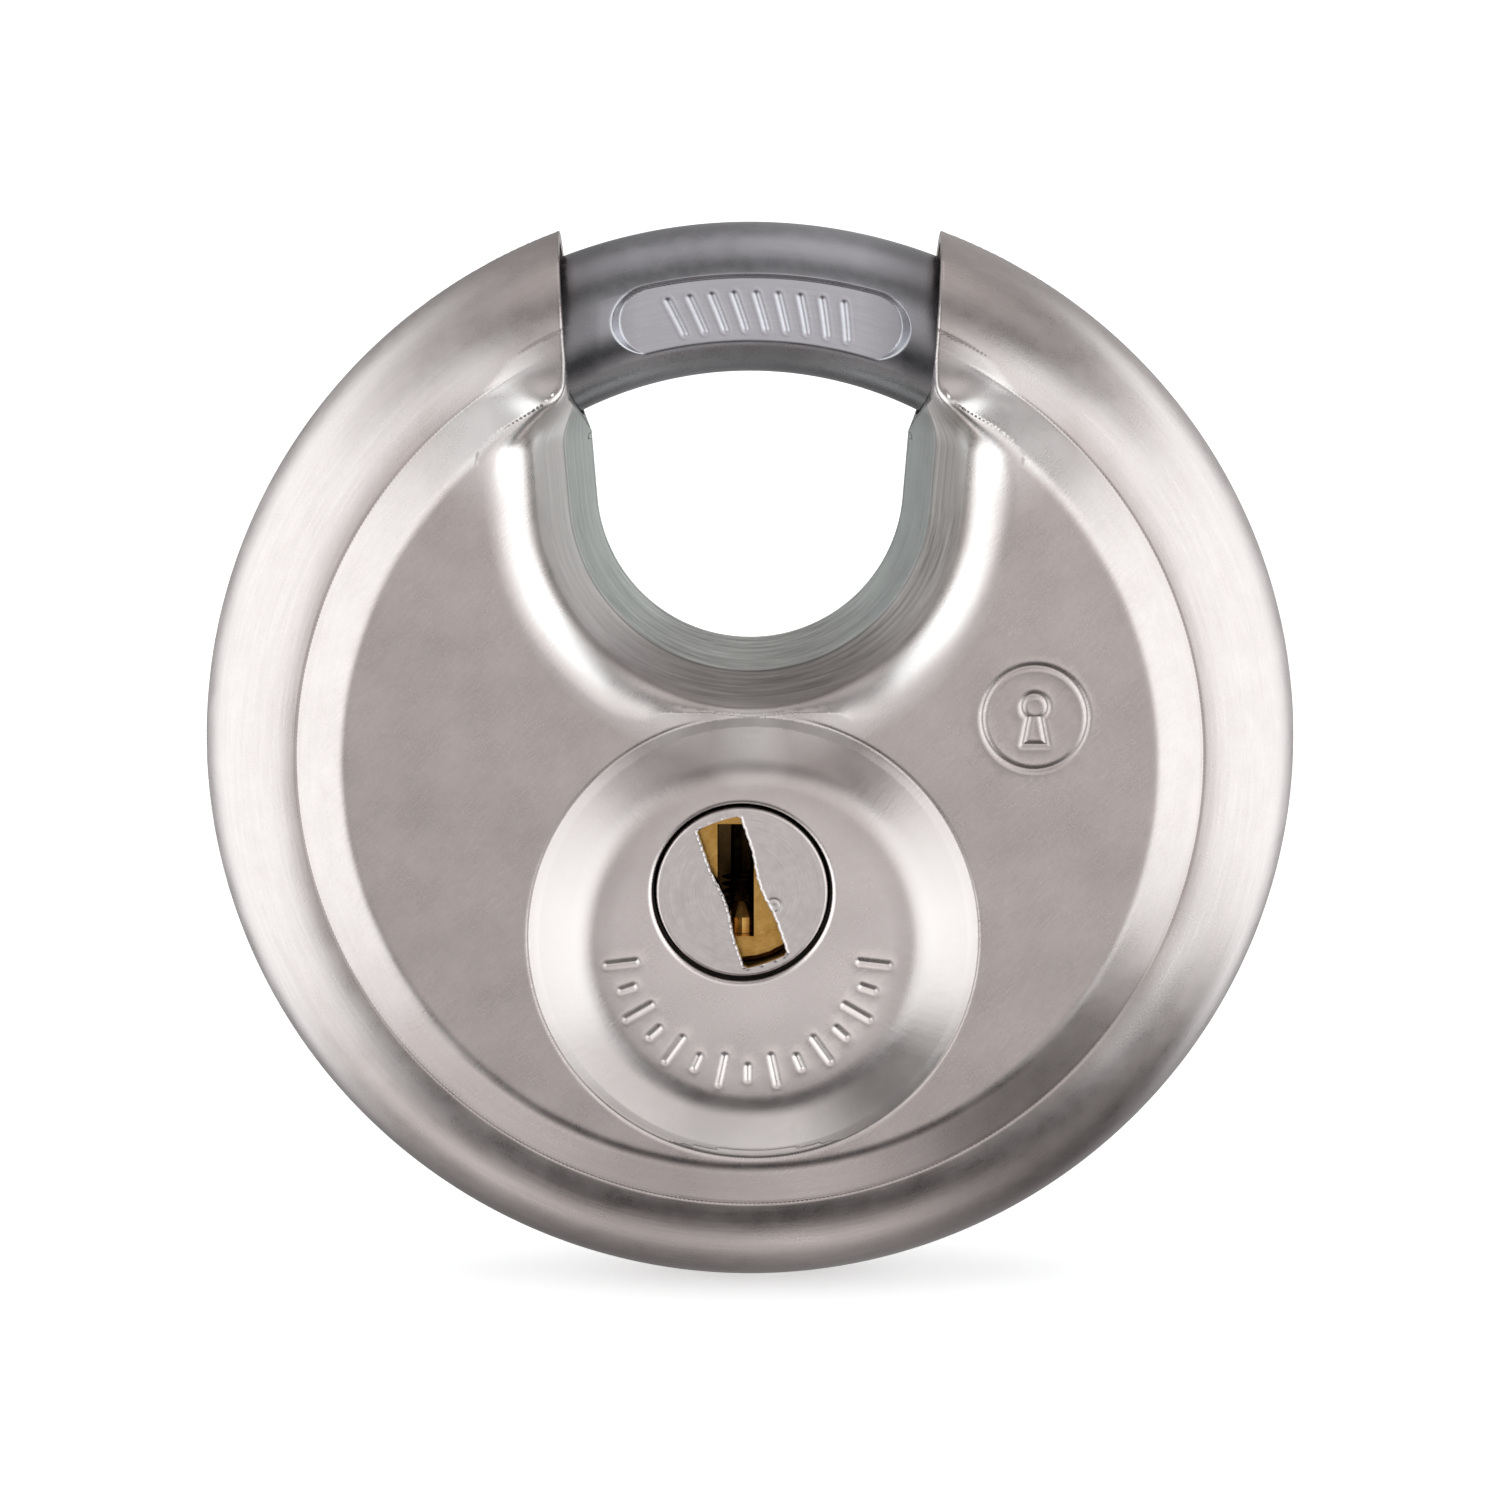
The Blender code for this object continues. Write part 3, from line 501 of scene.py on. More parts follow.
def shell_points(front):
    """Plan points of a half shell, close together where its height bends; the rear one is coarser."""
    fine = 1.0 if front else 2.0
    turn = np.radians(np.linspace(3, 83, 30 if front else 16))
    rim = CREST_R + (DISC_R - CREST_R) * np.cos(turn)
    crease = RING_R + np.array([-0.45, -0.25, -0.12, -0.05, -0.015, 0.0, 0.015, 0.05, 0.12, 0.25])
    shoulder = np.array([25.0, 25.3, 25.5, 25.65, 25.78, 25.9, 26.02,
                         26.15, 26.3, 26.5, 26.8, 27.2, 27.6, 27.9])
    polar = rings(0.0, 0.0, np.concatenate([rim, crease, shoulder]), 0.28 * fine)
    inner = grid((-25, -25), (25, 25), 0.7 * fine)
    inner = inner[np.hypot(inner[:, 0], inner[:, 1]) < 24.8]
    offsets = [0.1, 0.4, 0.8, 1.2, 1.45, 1.53, 1.6, 1.67, 1.75, 1.9, 2.2, 2.6, 3.0, 3.3, 3.45, 3.55,
               3.65, 3.75, 3.9, 4.1, 4.35, 4.6, 4.85, 5.1, 5.4, 5.7, 6.0, 6.3, 6.6, 6.9, 7.2, 7.5]
    throat = np.concatenate([throat_curve(s, 26.0, 0.25 * fine) for s in offsets])
    corner = np.concatenate([grid((side * 14.5 - 3.5, 19.5), (side * 14.5 + 3.5, 27.5), 0.16 * fine)
                             for side in (-1, 1)])
    groups = [polar[throat_spread(polar[:, 0], polar[:, 1]) > 0.2],
              inner[throat_spread(inner[:, 0], inner[:, 1]) > 7.6], throat[throat[:, 1] < 19.6], corner]
    for off in (0.04, 0.08, 0.13, 0.18, 0.24, 0.32):
        line = polyline([(CHEEK_X + off, CHEEK_Y), (GATE_X + off, GATE_Y),
                         (GATE_X + off + 11.0 * GATE_SLOPE, GATE_Y + 11.0)], 0.15)
        for side in (-1, 1):
            groups.append(line * (side, 1))
    if front:
        levels = [-0.2, -0.12, -0.1, -0.085, -0.07, -0.055, -0.04, -0.03, -0.02, -0.01, 0.0, 0.01, 0.03,
                  0.06, 0.1, 0.14, 0.16, 0.17, 0.18, 0.21, 0.26, 0.33, 0.42, 0.52, 0.6, 0.66, 0.72, 0.78,
                  0.84, 0.9, 0.96, 1.02, 1.08, 1.14, 1.2, 1.27, 1.35]
        boss = []
        for level in levels:
            centre = BOSS_FOOT_Y + (BOSS_TOP_Y - BOSS_FOOT_Y) * min(max(level, 0.0), 1.0)
            radius = BOSS_FOOT_R - (BOSS_FOOT_R - BOSS_TOP_R) * level
            boss.append(rings(BOSS_X, centre, [radius], 0.2))
        boss = np.concatenate(boss)
        saddle = grid((-8.0, -2.5), (8.0, 5.0), 0.16)
        hole = rings(PLUG_X, PLUG_Y, KEYHOLE_R + np.array([0.03, 0.07, 0.12, 0.2, 0.3, 0.45]), 0.2)
        marks = np.concatenate([grid((MARK_X - 4, MARK_Y - 4), (MARK_X + 4, MARK_Y + 4), 0.085),
                                grid((TICK_X - 9.5, TICK_Y - 9.5), (TICK_X + 9.5, TICK_Y + 1.5), 0.085)])
        marks = marks[stamp_distance(marks[:, 0], marks[:, 1]) < 0.5]
        groups += [boss, saddle, hole, marks]
    return np.concatenate(groups)


def shell(name, front):
    """A half shell of drawn sheet, closed at the seam; the front one has the boss and the keyhole."""
    def top(x, y):
        return shell_height(x, y, front)

    def bottom(x, y):
        height = top(x, y)
        upright = surface_normals(top, x, y)[:, 2]
        radius = np.hypot(x, y)
        channel = np.sqrt(np.clip(CHANNEL_R ** 2 - (radius - RING_R) ** 2, 0.0, None))
        below_gate = smooth_step(18.0, 12.0, y) * smooth_step(RING_R + 0.5, RING_R - 1.5, radius)
        steepest = 0.12 + 0.38 * below_gate
        sheet = height - SHEET / np.maximum(upright, steepest)
        return np.maximum(np.maximum(sheet, channel * (y > 18.0)), SEAM_HALF)

    loops = [shell_outline(0.3 if front else 0.5)]
    if front:
        loops.append(arc_points(PLUG_X, PLUG_Y, KEYHOLE_R, 0.0, 2 * math.pi, 0.2)[:-1])
    return relief_solid(name, loops, shell_points(front), top, bottom, rim_normals, flip=not front)


# Shackle

TOE, TAB = math.radians(129.0), math.radians(-54.6255)
HEEL = TAB - math.radians(9.0)
PAD_R, PAD_MID, PAD_HALF, PAD_REACH = 28.1, math.radians(90.0 - 1.45), 2.15, 6.85
PAD_HEIGHT = 4.08
END_ROUND = 0.9


def pad_distance(radius, bearing):
    """Distance outside the pad's stadium, measured along and across the rod."""
    along = np.abs(bearing - PAD_MID) * PAD_R
    return np.hypot(np.maximum(along - PAD_REACH, 0.0), radius - PAD_R) - PAD_HALF


def pad_marks(radius, bearing):
    """Depth of a row of slanted dashes stamped in the pad."""
    along = (bearing - PAD_MID) * PAD_R
    across = radius - PAD_R
    depth = np.zeros_like(along)
    for i in range(-4, 5):
        away = stroke_distance(along, across, (1.35 * i - 0.35, -1.1), (1.35 * i + 0.35, 1.1))
        depth += 0.06 * np.exp(-((away / 0.14) ** 2)) - 0.012 * np.exp(-(((away - 0.3) / 0.1) ** 2))
    return depth


def shackle_surface(bearing, turn, shrink):
    """Point of the rod: bearing along the ring, turn round the rod (0 faces the front)."""
    reach = ROD_R - shrink
    radius = RING_R + reach * np.sin(turn)
    height = reach * np.cos(turn)
    away = pad_distance(radius, bearing)
    floor = PAD_HEIGHT - pad_marks(radius, bearing) * (away < 0)
    wall = floor + np.maximum(away, 0.0) * 1.3
    front = np.cos(turn) > 0
    height = np.where(front, smooth_min(height, wall, 0.06), height)
    under = (np.abs(bearing - TAB) * RING_R < 4.1) & ~front
    height = np.where(under, np.maximum(height, -3.3), height)
    return radius, height


def spaced(start, end, coarse, fine, middle, half):
    """Values from start to end, close together within half of middle."""
    found = [start]
    while found[-1] < end - 1e-9:
        near = abs(found[-1] - middle) < half
        found.append(min(end, found[-1] + (fine if near else coarse)))
    return np.array(found)


def shackle():
    """The curved rod, finer round its pad, with rounded ends."""
    span = spaced(HEEL, TOE, math.radians(1.0), 0.085 / RING_R, PAD_MID, 10.2 / RING_R)
    turns = spaced(-math.pi, math.pi, math.radians(4.0), 0.085 / ROD_R, -0.1, 0.75)[:-1]
    bends = np.radians(np.arange(0, 90, 15))
    first = [(HEEL + END_ROUND * (1 - math.cos(a)) / RING_R, END_ROUND * (1 - math.sin(a))) for a in bends]
    last = [(HEEL + TOE - bearing, shrink) for bearing, shrink in reversed(first)]
    middle = [(b, 0.0) for b in span if first[-1][0] + 0.002 < b < last[0][0] - 0.002]
    sections = first + middle + last
    points = []
    for bearing, shrink in sections:
        radius, height = shackle_surface(np.full(len(turns), bearing), turns, shrink)
        points.append(np.stack([radius * math.cos(bearing), radius * math.sin(bearing), height], axis=1))
    count = len(turns)
    points = np.concatenate(points + [[(RING_R * math.cos(HEEL), RING_R * math.sin(HEEL), 0.0),
                                       (RING_R * math.cos(TOE), RING_R * math.sin(TOE), 0.0)]])
    i = np.arange(len(sections) - 1)[:, None] * count
    j = np.arange(count)[None, :]
    k = (j + 1) % count
    quads = np.stack([i + j, i + k, i + count + k, i + count + j], axis=-1).reshape(-1, 4)
    faces = np.concatenate([quads[:, [0, 1, 2]], quads[:, [0, 2, 3]]])
    j = np.arange(count)
    k = (j + 1) % count
    heel_cap = np.stack([np.full(count, len(points) - 2), k, j], axis=1)
    base = (len(sections) - 1) * count
    toe_cap = np.stack([np.full(count, len(points) - 1), base + j, base + k], axis=1)
    faces = np.concatenate([faces, heel_cap, toe_cap])
    return mesh_object("shackle_rod", place(points), faces)


# Guard disc

GUARD_R, GUARD_FLANGE_R = 5.42, 6.35
GUARD_FACE, GUARD_STEP, GUARD_BACK = 12.95, 11.9, 11.3
GUARD_ROUND, BURR_HEIGHT = 0.22, 0.04
PIP_X, PIP_Y = 2.0, -0.9
SLOT_HALF, SLOT_WAIST, SLOT_LEAN = 1.42, 1.16, math.radians(18.8)
SLOT_LOW, SLOT_HIGH = -4.75, 4.7
EDGE_STEPS = (-0.27, -0.22, -0.17, -0.13, -0.09, -0.05, -0.02, -0.002, 0.002, 0.15, 0.5)


def slot_half(along):
    """Half the slot's width: waisted in the middle, with a rough punched edge."""
    half = SLOT_WAIST + (SLOT_HALF - SLOT_WAIST) * smooth_step(0.2, 2.6, np.abs(along))
    return half + 0.018 * np.sin(along * 9.0) + 0.014 * np.sin(along * 17.0 + 2.0)


def lean_slot(points):
    """Slot coordinates (across, along) to the plan."""
    c, s = math.cos(SLOT_LEAN), math.sin(SLOT_LEAN)
    across, along = points[:, 0], points[:, 1]
    return np.stack([across * c - along * s + PLUG_X, across * s + along * c + PLUG_Y], axis=1)


def slot_outline():
    """The slot's edge, right side up and left side down, with slightly uneven ends."""
    along = np.linspace(SLOT_LOW + 0.2, SLOT_HIGH - 0.2, 70)
    right = np.stack([slot_half(along), along], axis=1)
    left = np.stack([-slot_half(along + 0.37), along], axis=1)[::-1]
    top = np.array([(1.25, SLOT_HIGH - 0.03), (0.4, SLOT_HIGH + 0.04),
                    (-0.5, SLOT_HIGH + 0.02), (-1.25, SLOT_HIGH - 0.04)])
    low = np.array([(-1.2, SLOT_LOW + 0.02), (-0.3, SLOT_LOW - 0.05),
                    (0.6, SLOT_LOW - 0.03), (1.2, SLOT_LOW + 0.03)])
    return lean_slot(np.concatenate([right, top, left, low]))


def guard_disc():
    """The slotted disc: rounded rim, a flange behind it, a raised burr round the slot and a small pip."""
    slot = slot_outline()

    def top(x, y):
        radius = np.hypot(x - PLUG_X, y - PLUG_Y)
        edge = np.clip(GUARD_R - radius, 0.0, GUARD_ROUND)
        face = GUARD_FACE - (GUARD_ROUND - np.sqrt(GUARD_ROUND ** 2 - (GUARD_ROUND - edge) ** 2))
        away = nearest_distance(np.stack([x, y], axis=1), slot)
        face = face + BURR_HEIGHT * np.exp(-((away - 0.05) / 0.07) ** 2)
        pip = np.hypot(x - PLUG_X - PIP_X, y - PLUG_Y - PIP_Y)
        face = face - 0.025 * np.exp(-(((pip - 0.42) / 0.1) ** 2)) - 0.02 * np.exp(-((pip / 0.15) ** 2))
        return np.where(radius > GUARD_R, GUARD_STEP, face)

    def bottom(x, y):
        return np.full_like(x, GUARD_BACK)

    radii = np.concatenate([np.arange(0.4, 5.0, 0.2), GUARD_R + np.array(EDGE_STEPS)])
    points = rings(PLUG_X, PLUG_Y, radii, 0.16)
    along = np.linspace(SLOT_LOW, SLOT_HIGH, 100)
    edge_rows = []
    for off in (0.04, 0.08, 0.12, 0.17, 0.24):
        for side, shift in ((1, 0.0), (-1, 0.37)):
            across = side * (slot_half(along + shift) + off)
            edge_rows.append(lean_slot(np.stack([across, along], axis=1)))
        for end in (SLOT_LOW - 0.05 - off, SLOT_HIGH + 0.04 + off):
            across = np.linspace(-1.4, 1.4, 24)
            edge_rows.append(lean_slot(np.stack([across, np.full_like(across, end)], axis=1)))
    pip_x, pip_y = PLUG_X + PIP_X, PLUG_Y + PIP_Y
    pip = grid((pip_x - 0.7, pip_y - 0.7), (pip_x + 0.7, pip_y + 0.7), 0.06)
    points = np.concatenate([points, pip] + edge_rows)
    loops = [arc_points(PLUG_X, PLUG_Y, GUARD_FLANGE_R, 0.0, 2 * math.pi, 0.25)[:-1], slot]
    return relief_solid("guard_disc_face", loops, points, top, bottom)


# Pin springs

SPRING_COIL_R, SPRING_WIRE_R, SPRING_TURNS = 0.95, 0.15, 5.5


def pin_spring(number):
    """A close-wound spring in the box of the CAD spring."""
    low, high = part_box(f"pin_spring_{number}")
    centre = (low + high) / 2
    length = (high.z - low.z) / MM - 2 * SPRING_WIRE_R
    steps, sides = int(40 * SPRING_TURNS), 10
    points = []
    for i in range(steps + 1):
        share = i / steps
        angle = 2 * math.pi * SPRING_TURNS * share
        rise = length * (share - 0.5)
        for j in range(sides):
            turn = 2 * math.pi * j / sides
            reach = SPRING_COIL_R + SPRING_WIRE_R * math.cos(turn)
            points.append((centre.x + reach * math.cos(angle) * MM, centre.y + reach * math.sin(angle) * MM,
                           centre.z + (rise + SPRING_WIRE_R * math.sin(turn)) * MM))
    faces = []
    for i in range(steps):
        for j in range(sides):
            a, b = i * sides + j, i * sides + (j + 1) % sides
            faces += [(a, a + sides, b + sides), (a, b + sides, b)]
    for first, way in ((0, 1), (steps * sides, -1)):
        fan = [(first, first + j, first + j + 1) for j in range(1, sides - 1)]
        faces += [tri[::way] for tri in fan]
    spring = mesh_object(f"chamber_spring_{number}", points, faces)
    add_piece(spring, SPRING_STEEL, "case", [f"pin_spring_{number}"])
    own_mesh(spring)


# Materials


def nodes_of(name):
    material = bpy.data.materials.new(name)
    material.use_nodes = True
    tree = material.node_tree
    return material, tree, tree.nodes["Principled BSDF"]


def feed(tree, socket, value):
    """Sets a socket to a number or a colour, or links it to another node's output."""
    if isinstance(value, tuple):
        socket.default_value = (*value, 1.0)
    elif isinstance(value, (int, float)):
        socket.default_value = value
    else:
        tree.links.new(value, socket)


def math_node(tree, operation, a, b=None, c=None):
    node = tree.nodes.new("ShaderNodeMath")
    node.operation = operation
    for socket, value in zip(node.inputs, (a, b, c)):
        if value is not None:
            feed(tree, socket, value)
    return node.outputs[0]


def times(tree, a, b):
    return math_node(tree, "MULTIPLY", a, b)


def plus(tree, a, b):
    return math_node(tree, "ADD", a, b)


def minus(tree, a, b):
    return math_node(tree, "SUBTRACT", a, b)


def absolute(tree, value):
    return math_node(tree, "ABSOLUTE", value)


def plan_length(tree, x, z):
    """Length of a plan vector."""
    return math_node(tree, "SQRT", plus(tree, times(tree, x, x), times(tree, z, z)))


def noise(tree, vector, scale, detail=3.0, rough=0.6):
    node = tree.nodes.new("ShaderNodeTexNoise")
    node.inputs["Scale"].default_value = scale
    node.inputs["Detail"].default_value = detail
    node.inputs["Roughness"].default_value = rough
    tree.links.new(vector, node.inputs["Vector"])
    return node.outputs["Fac"]


def scaled(tree, value, low, high, to_low=0.0, to_high=1.0):
    """Takes low..high to to_low..to_high and holds at both ends."""
    node = tree.nodes.new("ShaderNodeMapRange")
    for name, number in (("From Min", low), ("From Max", high), ("To Min", to_low), ("To Max", to_high)):
        node.inputs[name].default_value = number
    tree.links.new(value, node.inputs["Value"])
    return node.outputs[0]


def object_place(tree):
    """The surface point in millimetres about the middle of the disc, and its three parts."""
    coords = tree.nodes.new("ShaderNodeTexCoord")
    scale = tree.nodes.new("ShaderNodeVectorMath")
    scale.operation = "MULTIPLY_ADD"
    scale.inputs[1].default_value = (1000.0, 1000.0, 1000.0)
    scale.inputs[2].default_value = (0.0, -1000.0 * SEAM_Y, 0.0)
    tree.links.new(coords.outputs["Object"], scale.inputs[0])
    split = tree.nodes.new("ShaderNodeSeparateXYZ")
    tree.links.new(scale.outputs[0], split.inputs[0])
    return scale.outputs[0], split.outputs[0], split.outputs[1], split.outputs[2]


def combine(tree, x, y, z):
    node = tree.nodes.new("ShaderNodeCombineXYZ")
    for socket, value in zip(node.inputs, (x, y, z)):
        feed(tree, socket, value)
    return node.outputs[0]


def polar_vector(tree, x, z, centre, round_scale, radial_scale, depth=0.0):
    """Coordinates stretched round a centre, for turned or circular brushing, without a seam."""
    dx = minus(tree, x, centre[0])
    dz = minus(tree, z, centre[1])
    radius = plan_length(tree, dx, dz)
    scale = math_node(tree, "DIVIDE", round_scale, radius)
    return combine(tree, times(tree, dx, scale), times(tree, dz, scale),
                   math_node(tree, "MULTIPLY_ADD", radius, radial_scale, depth)), radius


def tint(tree, fac, a, b):
    """Mixes two colours: a at 0 and b at 1."""
    node = tree.nodes.new("ShaderNodeMix")
    node.data_type = "RGBA"
    feed(tree, node.inputs["A"], a)
    feed(tree, node.inputs["B"], b)
    tree.links.new(fac, node.inputs["Factor"])
    return node.outputs["Result"]


def add_bump(tree, shader, height, strength, distance):
    node = tree.nodes.new("ShaderNodeBump")
    node.inputs["Strength"].default_value = strength
    node.inputs["Distance"].default_value = distance * MM
    tree.links.new(height, node.inputs["Height"])
    tree.links.new(node.outputs[0], shader.inputs["Normal"])


def make_metal(tree, shader, tone, rough):
    tree.links.new(tone, shader.inputs["Base Color"])
    tree.links.new(rough, shader.inputs["Roughness"])
    shader.inputs["Metallic"].default_value = 1.0


def shell_steel():
    """Drawn stainless sheet: round brushing on the rim, slanting grain on the face, rays on the boss,
    painted highlights and shade.
    """
    material, tree, shader = nodes_of("satin_stainless")
    place_mm, x, y, z = object_place(tree)
    rim_vector, radius = polar_vector(tree, x, z, (0.0, 0.0), 5.0, 4.5)
    rim_brush = noise(tree, rim_vector, 1.0, 5.0, 0.7)
    slant = combine(tree, times(tree, plus(tree, x, z), 0.8), times(tree, minus(tree, x, z), 4.5), y)
    face_brush = noise(tree, slant, 1.0, 4.0, 0.7)
    rays, boss_radius = polar_vector(tree, x, z, (BOSS_X, BOSS_FOOT_Y), 26.0, 0.5)
    boss_brush = noise(tree, rays, 1.0, 4.0, 0.65)
    on_rim = scaled(tree, radius, 25.5, 29.0)
    on_boss = times(tree, scaled(tree, boss_radius, 14.3, 13.9), scaled(tree, boss_radius, 7.5, 10.0))
    on_boss = times(tree, on_boss, scaled(tree, y, -10.0, -10.6))
    grain = noise(tree, place_mm, 8.0, 4.0, 0.75)
    blotch = noise(tree, place_mm, 0.45, 4.0, 0.6)
    brush = plus(tree, times(tree, rim_brush, on_rim), times(tree, face_brush, minus(tree, 1.0, on_rim)))
    brush = plus(tree, brush, times(tree, boss_brush, on_boss))
    relief = plus(tree, brush, times(tree, grain, 0.8))
    add_bump(tree, shader, relief, 0.5, 0.016)
    patches = scaled(tree, blotch, 0.3, 0.7)
    tone = tint(tree, patches, (0.61, 0.535, 0.52), (0.69, 0.61, 0.595))
    fine = scaled(tree, plus(tree, grain, brush), 0.7, 1.3)
    tone = tint(tree, times(tree, fine, 0.32), tone, (0.42, 0.36, 0.345))
    speck = scaled(tree, noise(tree, place_mm, 3.2, 5.0, 0.75), 0.64, 0.78, 0.0, 0.5)
    tone = tint(tree, speck, tone, (0.38, 0.33, 0.31))
    # Painted sheen: the boss's top face is painted lighter, more so towards its lower side.
    boss_top_sheen = times(tree, near_circle(tree, x, z, (BOSS_X, BOSS_TOP_Y), BOSS_TOP_R, 2.0),
                      scaled(tree, z, -3.0, -15.0, 0.35, 0.75))
    tone = tint(tree, times(tree, boss_top_sheen, scaled(tree, y, -12.5, -13.0)), tone, (0.95, 0.86, 0.84))
    # Painted highlights: the fillet, the boss's slope, the saddle and the places by the gate are painted
    # near-white.
    painted_highlight = times(tree, highlight_share(tree, x, z, boss_radius), scaled(tree, y, 0.0, -1.0))
    tone = tint(tree, painted_highlight, tone, (0.99, 0.93, 0.91))
    in_throat = throat_share(tree, x, z)
    wall_vector, _ = polar_vector(tree, x, math_node(tree, "MINIMUM", z, THROAT_Y),
                                  (0.0, THROAT_Y), 2.0, 0.4, times(tree, y, 2.6))
    streak = scaled(tree, noise(tree, wall_vector, 1.0, 5.0, 0.7), 0.3, 0.7)
    # The throat wall is darker than the face, partly a duller finish and partly painted shade; the bottom
    # of the throat is painted near-white, a painted highlight.
    beside = scaled(tree, absolute(tree, x), 3.0, 9.0)
    inner = tint(tree, beside, (0.97, 0.97, 0.93), (0.47, 0.475, 0.45))
    # Painted shade: the right side of the inner wall is painted darker.
    inner = tint(tree, scaled(tree, x, 5.0, 10.0, 0.0, 0.5), inner, (0.16, 0.16, 0.155))
    worn = scaled(tree, streak, 0.0, 1.0, 0.75, 0.0)
    inner = tint(tree, worn, inner, (0.24, 0.24, 0.23))
    outer = tint(tree, streak, (0.30, 0.265, 0.25), (0.66, 0.60, 0.58))
    # Painted light: the left side of the wall above the knee is painted lighter.
    outer = tint(tree, scaled(tree, x, -3.0, -10.0, 0.0, 0.5), outer, (0.95, 0.88, 0.86))
    beyond_knee = scaled(tree, y, -WALL_KNEE_DEPTH + 0.2, -WALL_KNEE_DEPTH - 0.2)
    wall_tone = tint(tree, beyond_knee, inner, outer)
    # A dark line is painted along the wall's knee.
    from_knee = absolute(tree, plus(tree, y, WALL_KNEE_DEPTH + 0.1))
    knee_line_dark = scaled(tree, from_knee, 0.16, 0.04, 0.0, 0.6)
    wall_tone = tint(tree, knee_line_dark, wall_tone, (0.16, 0.15, 0.145))
    tone = tint(tree, in_throat, tone, wall_tone)
    # Painted shade: the keyhole's wall, deeper than the face, is painted nearly black.
    keyhole_shade = times(tree, near_circle(tree, x, z, (PLUG_X, PLUG_Y), KEYHOLE_R + 0.02),
                 scaled(tree, y, -12.95, -12.75))
    keyhole_shade = times(tree, keyhole_shade, scaled(tree, y, 0.0, -1.0))
    tone = tint(tree, keyhole_shade, tone, (0.05, 0.04, 0.035))
    rough = plus(tree, scaled(tree, blotch, 0.3, 0.7, 0.22, 0.30), times(tree, fine, 0.08))
    rough = plus(tree, rough, times(tree, in_throat, 0.12))
    make_metal(tree, shader, tone, rough)
    return material


def near_circle(tree, x, z, centre, radius, soft=0.05):
    """1 inside a circle of the plan, 0 outside, with an edge as wide as soft."""
    dx = minus(tree, x, centre[0])
    dz = minus(tree, z, centre[1])
    reach = plan_length(tree, dx, dz)
    return scaled(tree, reach, radius, radius - soft)


# Centres of the painted highlights by the gate and on the saddle.
GATE_HIGHLIGHT, SADDLE_HIGHLIGHT = (14.5, 21.2), (0.0, 2.3)


def highlight_share(tree, x, z, boss_radius):
    """How strongly the fillet, the boss's slope, the saddle and the places by the gate carry painted
    highlights.
    """
    up = math_node(tree, "MINIMUM", minus(tree, z, THROAT_Y), 0.0)
    reach = plan_length(tree, x, up)
    band = THROAT_R + WALL_EDGE
    fillet = times(tree, scaled(tree, reach, band - 0.4, band + 0.6),
                   scaled(tree, reach, band + 3.2, band + 1.2))
    fillet = times(tree, fillet, scaled(tree, z, 14.0, 9.0, 0.35, 0.9))
    fillet = times(tree, fillet, scaled(tree, absolute(tree, x), 2.0, 7.0, 0.35, 1.0))
    fillet = times(tree, fillet, scaled(tree, z, 22.0, 18.5))
    slope = times(tree, scaled(tree, boss_radius, 14.6, 13.6), scaled(tree, boss_radius, 9.4, 10.8))
    slope = times(tree, slope, scaled(tree, z, -3.0, -9.0, 0.0, 0.22))
    slope = times(tree, slope, scaled(tree, z, -18.0, -24.0, 1.0, 3.6))
    by_gate = near_circle(tree, absolute(tree, x), z, GATE_HIGHLIGHT, 6.0, 4.0)
    saddle = near_circle(tree, x, z, SADDLE_HIGHLIGHT, 3.6, 2.6)
    ends = times(tree, math_node(tree, "MAXIMUM", by_gate, saddle), 0.7)
    return math_node(tree, "MAXIMUM", math_node(tree, "MAXIMUM", fillet, slope), ends)


def throat_share(tree, x, z):
    """1 on the throat's wall, 0 from the fillet outwards."""
    up = math_node(tree, "MINIMUM", minus(tree, z, THROAT_Y + 0.5), 0.0)
    reach = plan_length(tree, x, up)
    inside = scaled(tree, reach, THROAT_R + WALL_EDGE + 0.3, THROAT_R + WALL_EDGE - 0.5)
    return times(tree, inside, scaled(tree, z, 23.0, 21.5))


def shackle_steel():
    """Brushed rod with painted shade beside the shells, and a brighter pad."""
    material, tree, shader = nodes_of("satin_shackle_steel")
    place_mm, x, y, z = object_place(tree)
    along, radius = polar_vector(tree, x, z, (0.0, 0.0), 10.0, 5.0, times(tree, y, 5.0))
    brush = noise(tree, along, 1.0, 4.0, 0.6)
    grain = noise(tree, place_mm, 12.0, 4.0, 0.7)
    blotch = noise(tree, place_mm, 0.8, 3.0, 0.55)
    relief = plus(tree, times(tree, brush, 0.35), times(tree, grain, 0.6))
    add_bump(tree, shader, relief, 0.25, 0.010)
    patches = scaled(tree, blotch, 0.3, 0.7)
    tone = tint(tree, patches, (0.42, 0.41, 0.44), (0.50, 0.485, 0.515))
    on_pad = times(tree, scaled(tree, y, -PAD_HEIGHT + 0.3, -PAD_HEIGHT + 0.1),
                   scaled(tree, absolute(tree, minus(tree, radius, PAD_R)),
                          2.25, 2.15))
    on_pad = times(tree, on_pad, scaled(tree, absolute(tree, x), 9.8, 9.4))
    tone = tint(tree, on_pad, tone, (0.62, 0.60, 0.64))
    # Painted shade: the rod is painted darker where it runs into the shells.
    shade_by_shell = scaled(tree, absolute(tree, x), 7.0, 10.5, 0.0, 0.6)
    tone = tint(tree, shade_by_shell, tone, (0.20, 0.19, 0.20))
    fine = scaled(tree, plus(tree, grain, brush), 0.7, 1.3, 0.0, 0.3)
    tone = tint(tree, fine, tone, (0.36, 0.35, 0.37))
    make_metal(tree, shader, tone, scaled(tree, blotch, 0.3, 0.7, 0.24, 0.32))
    return material


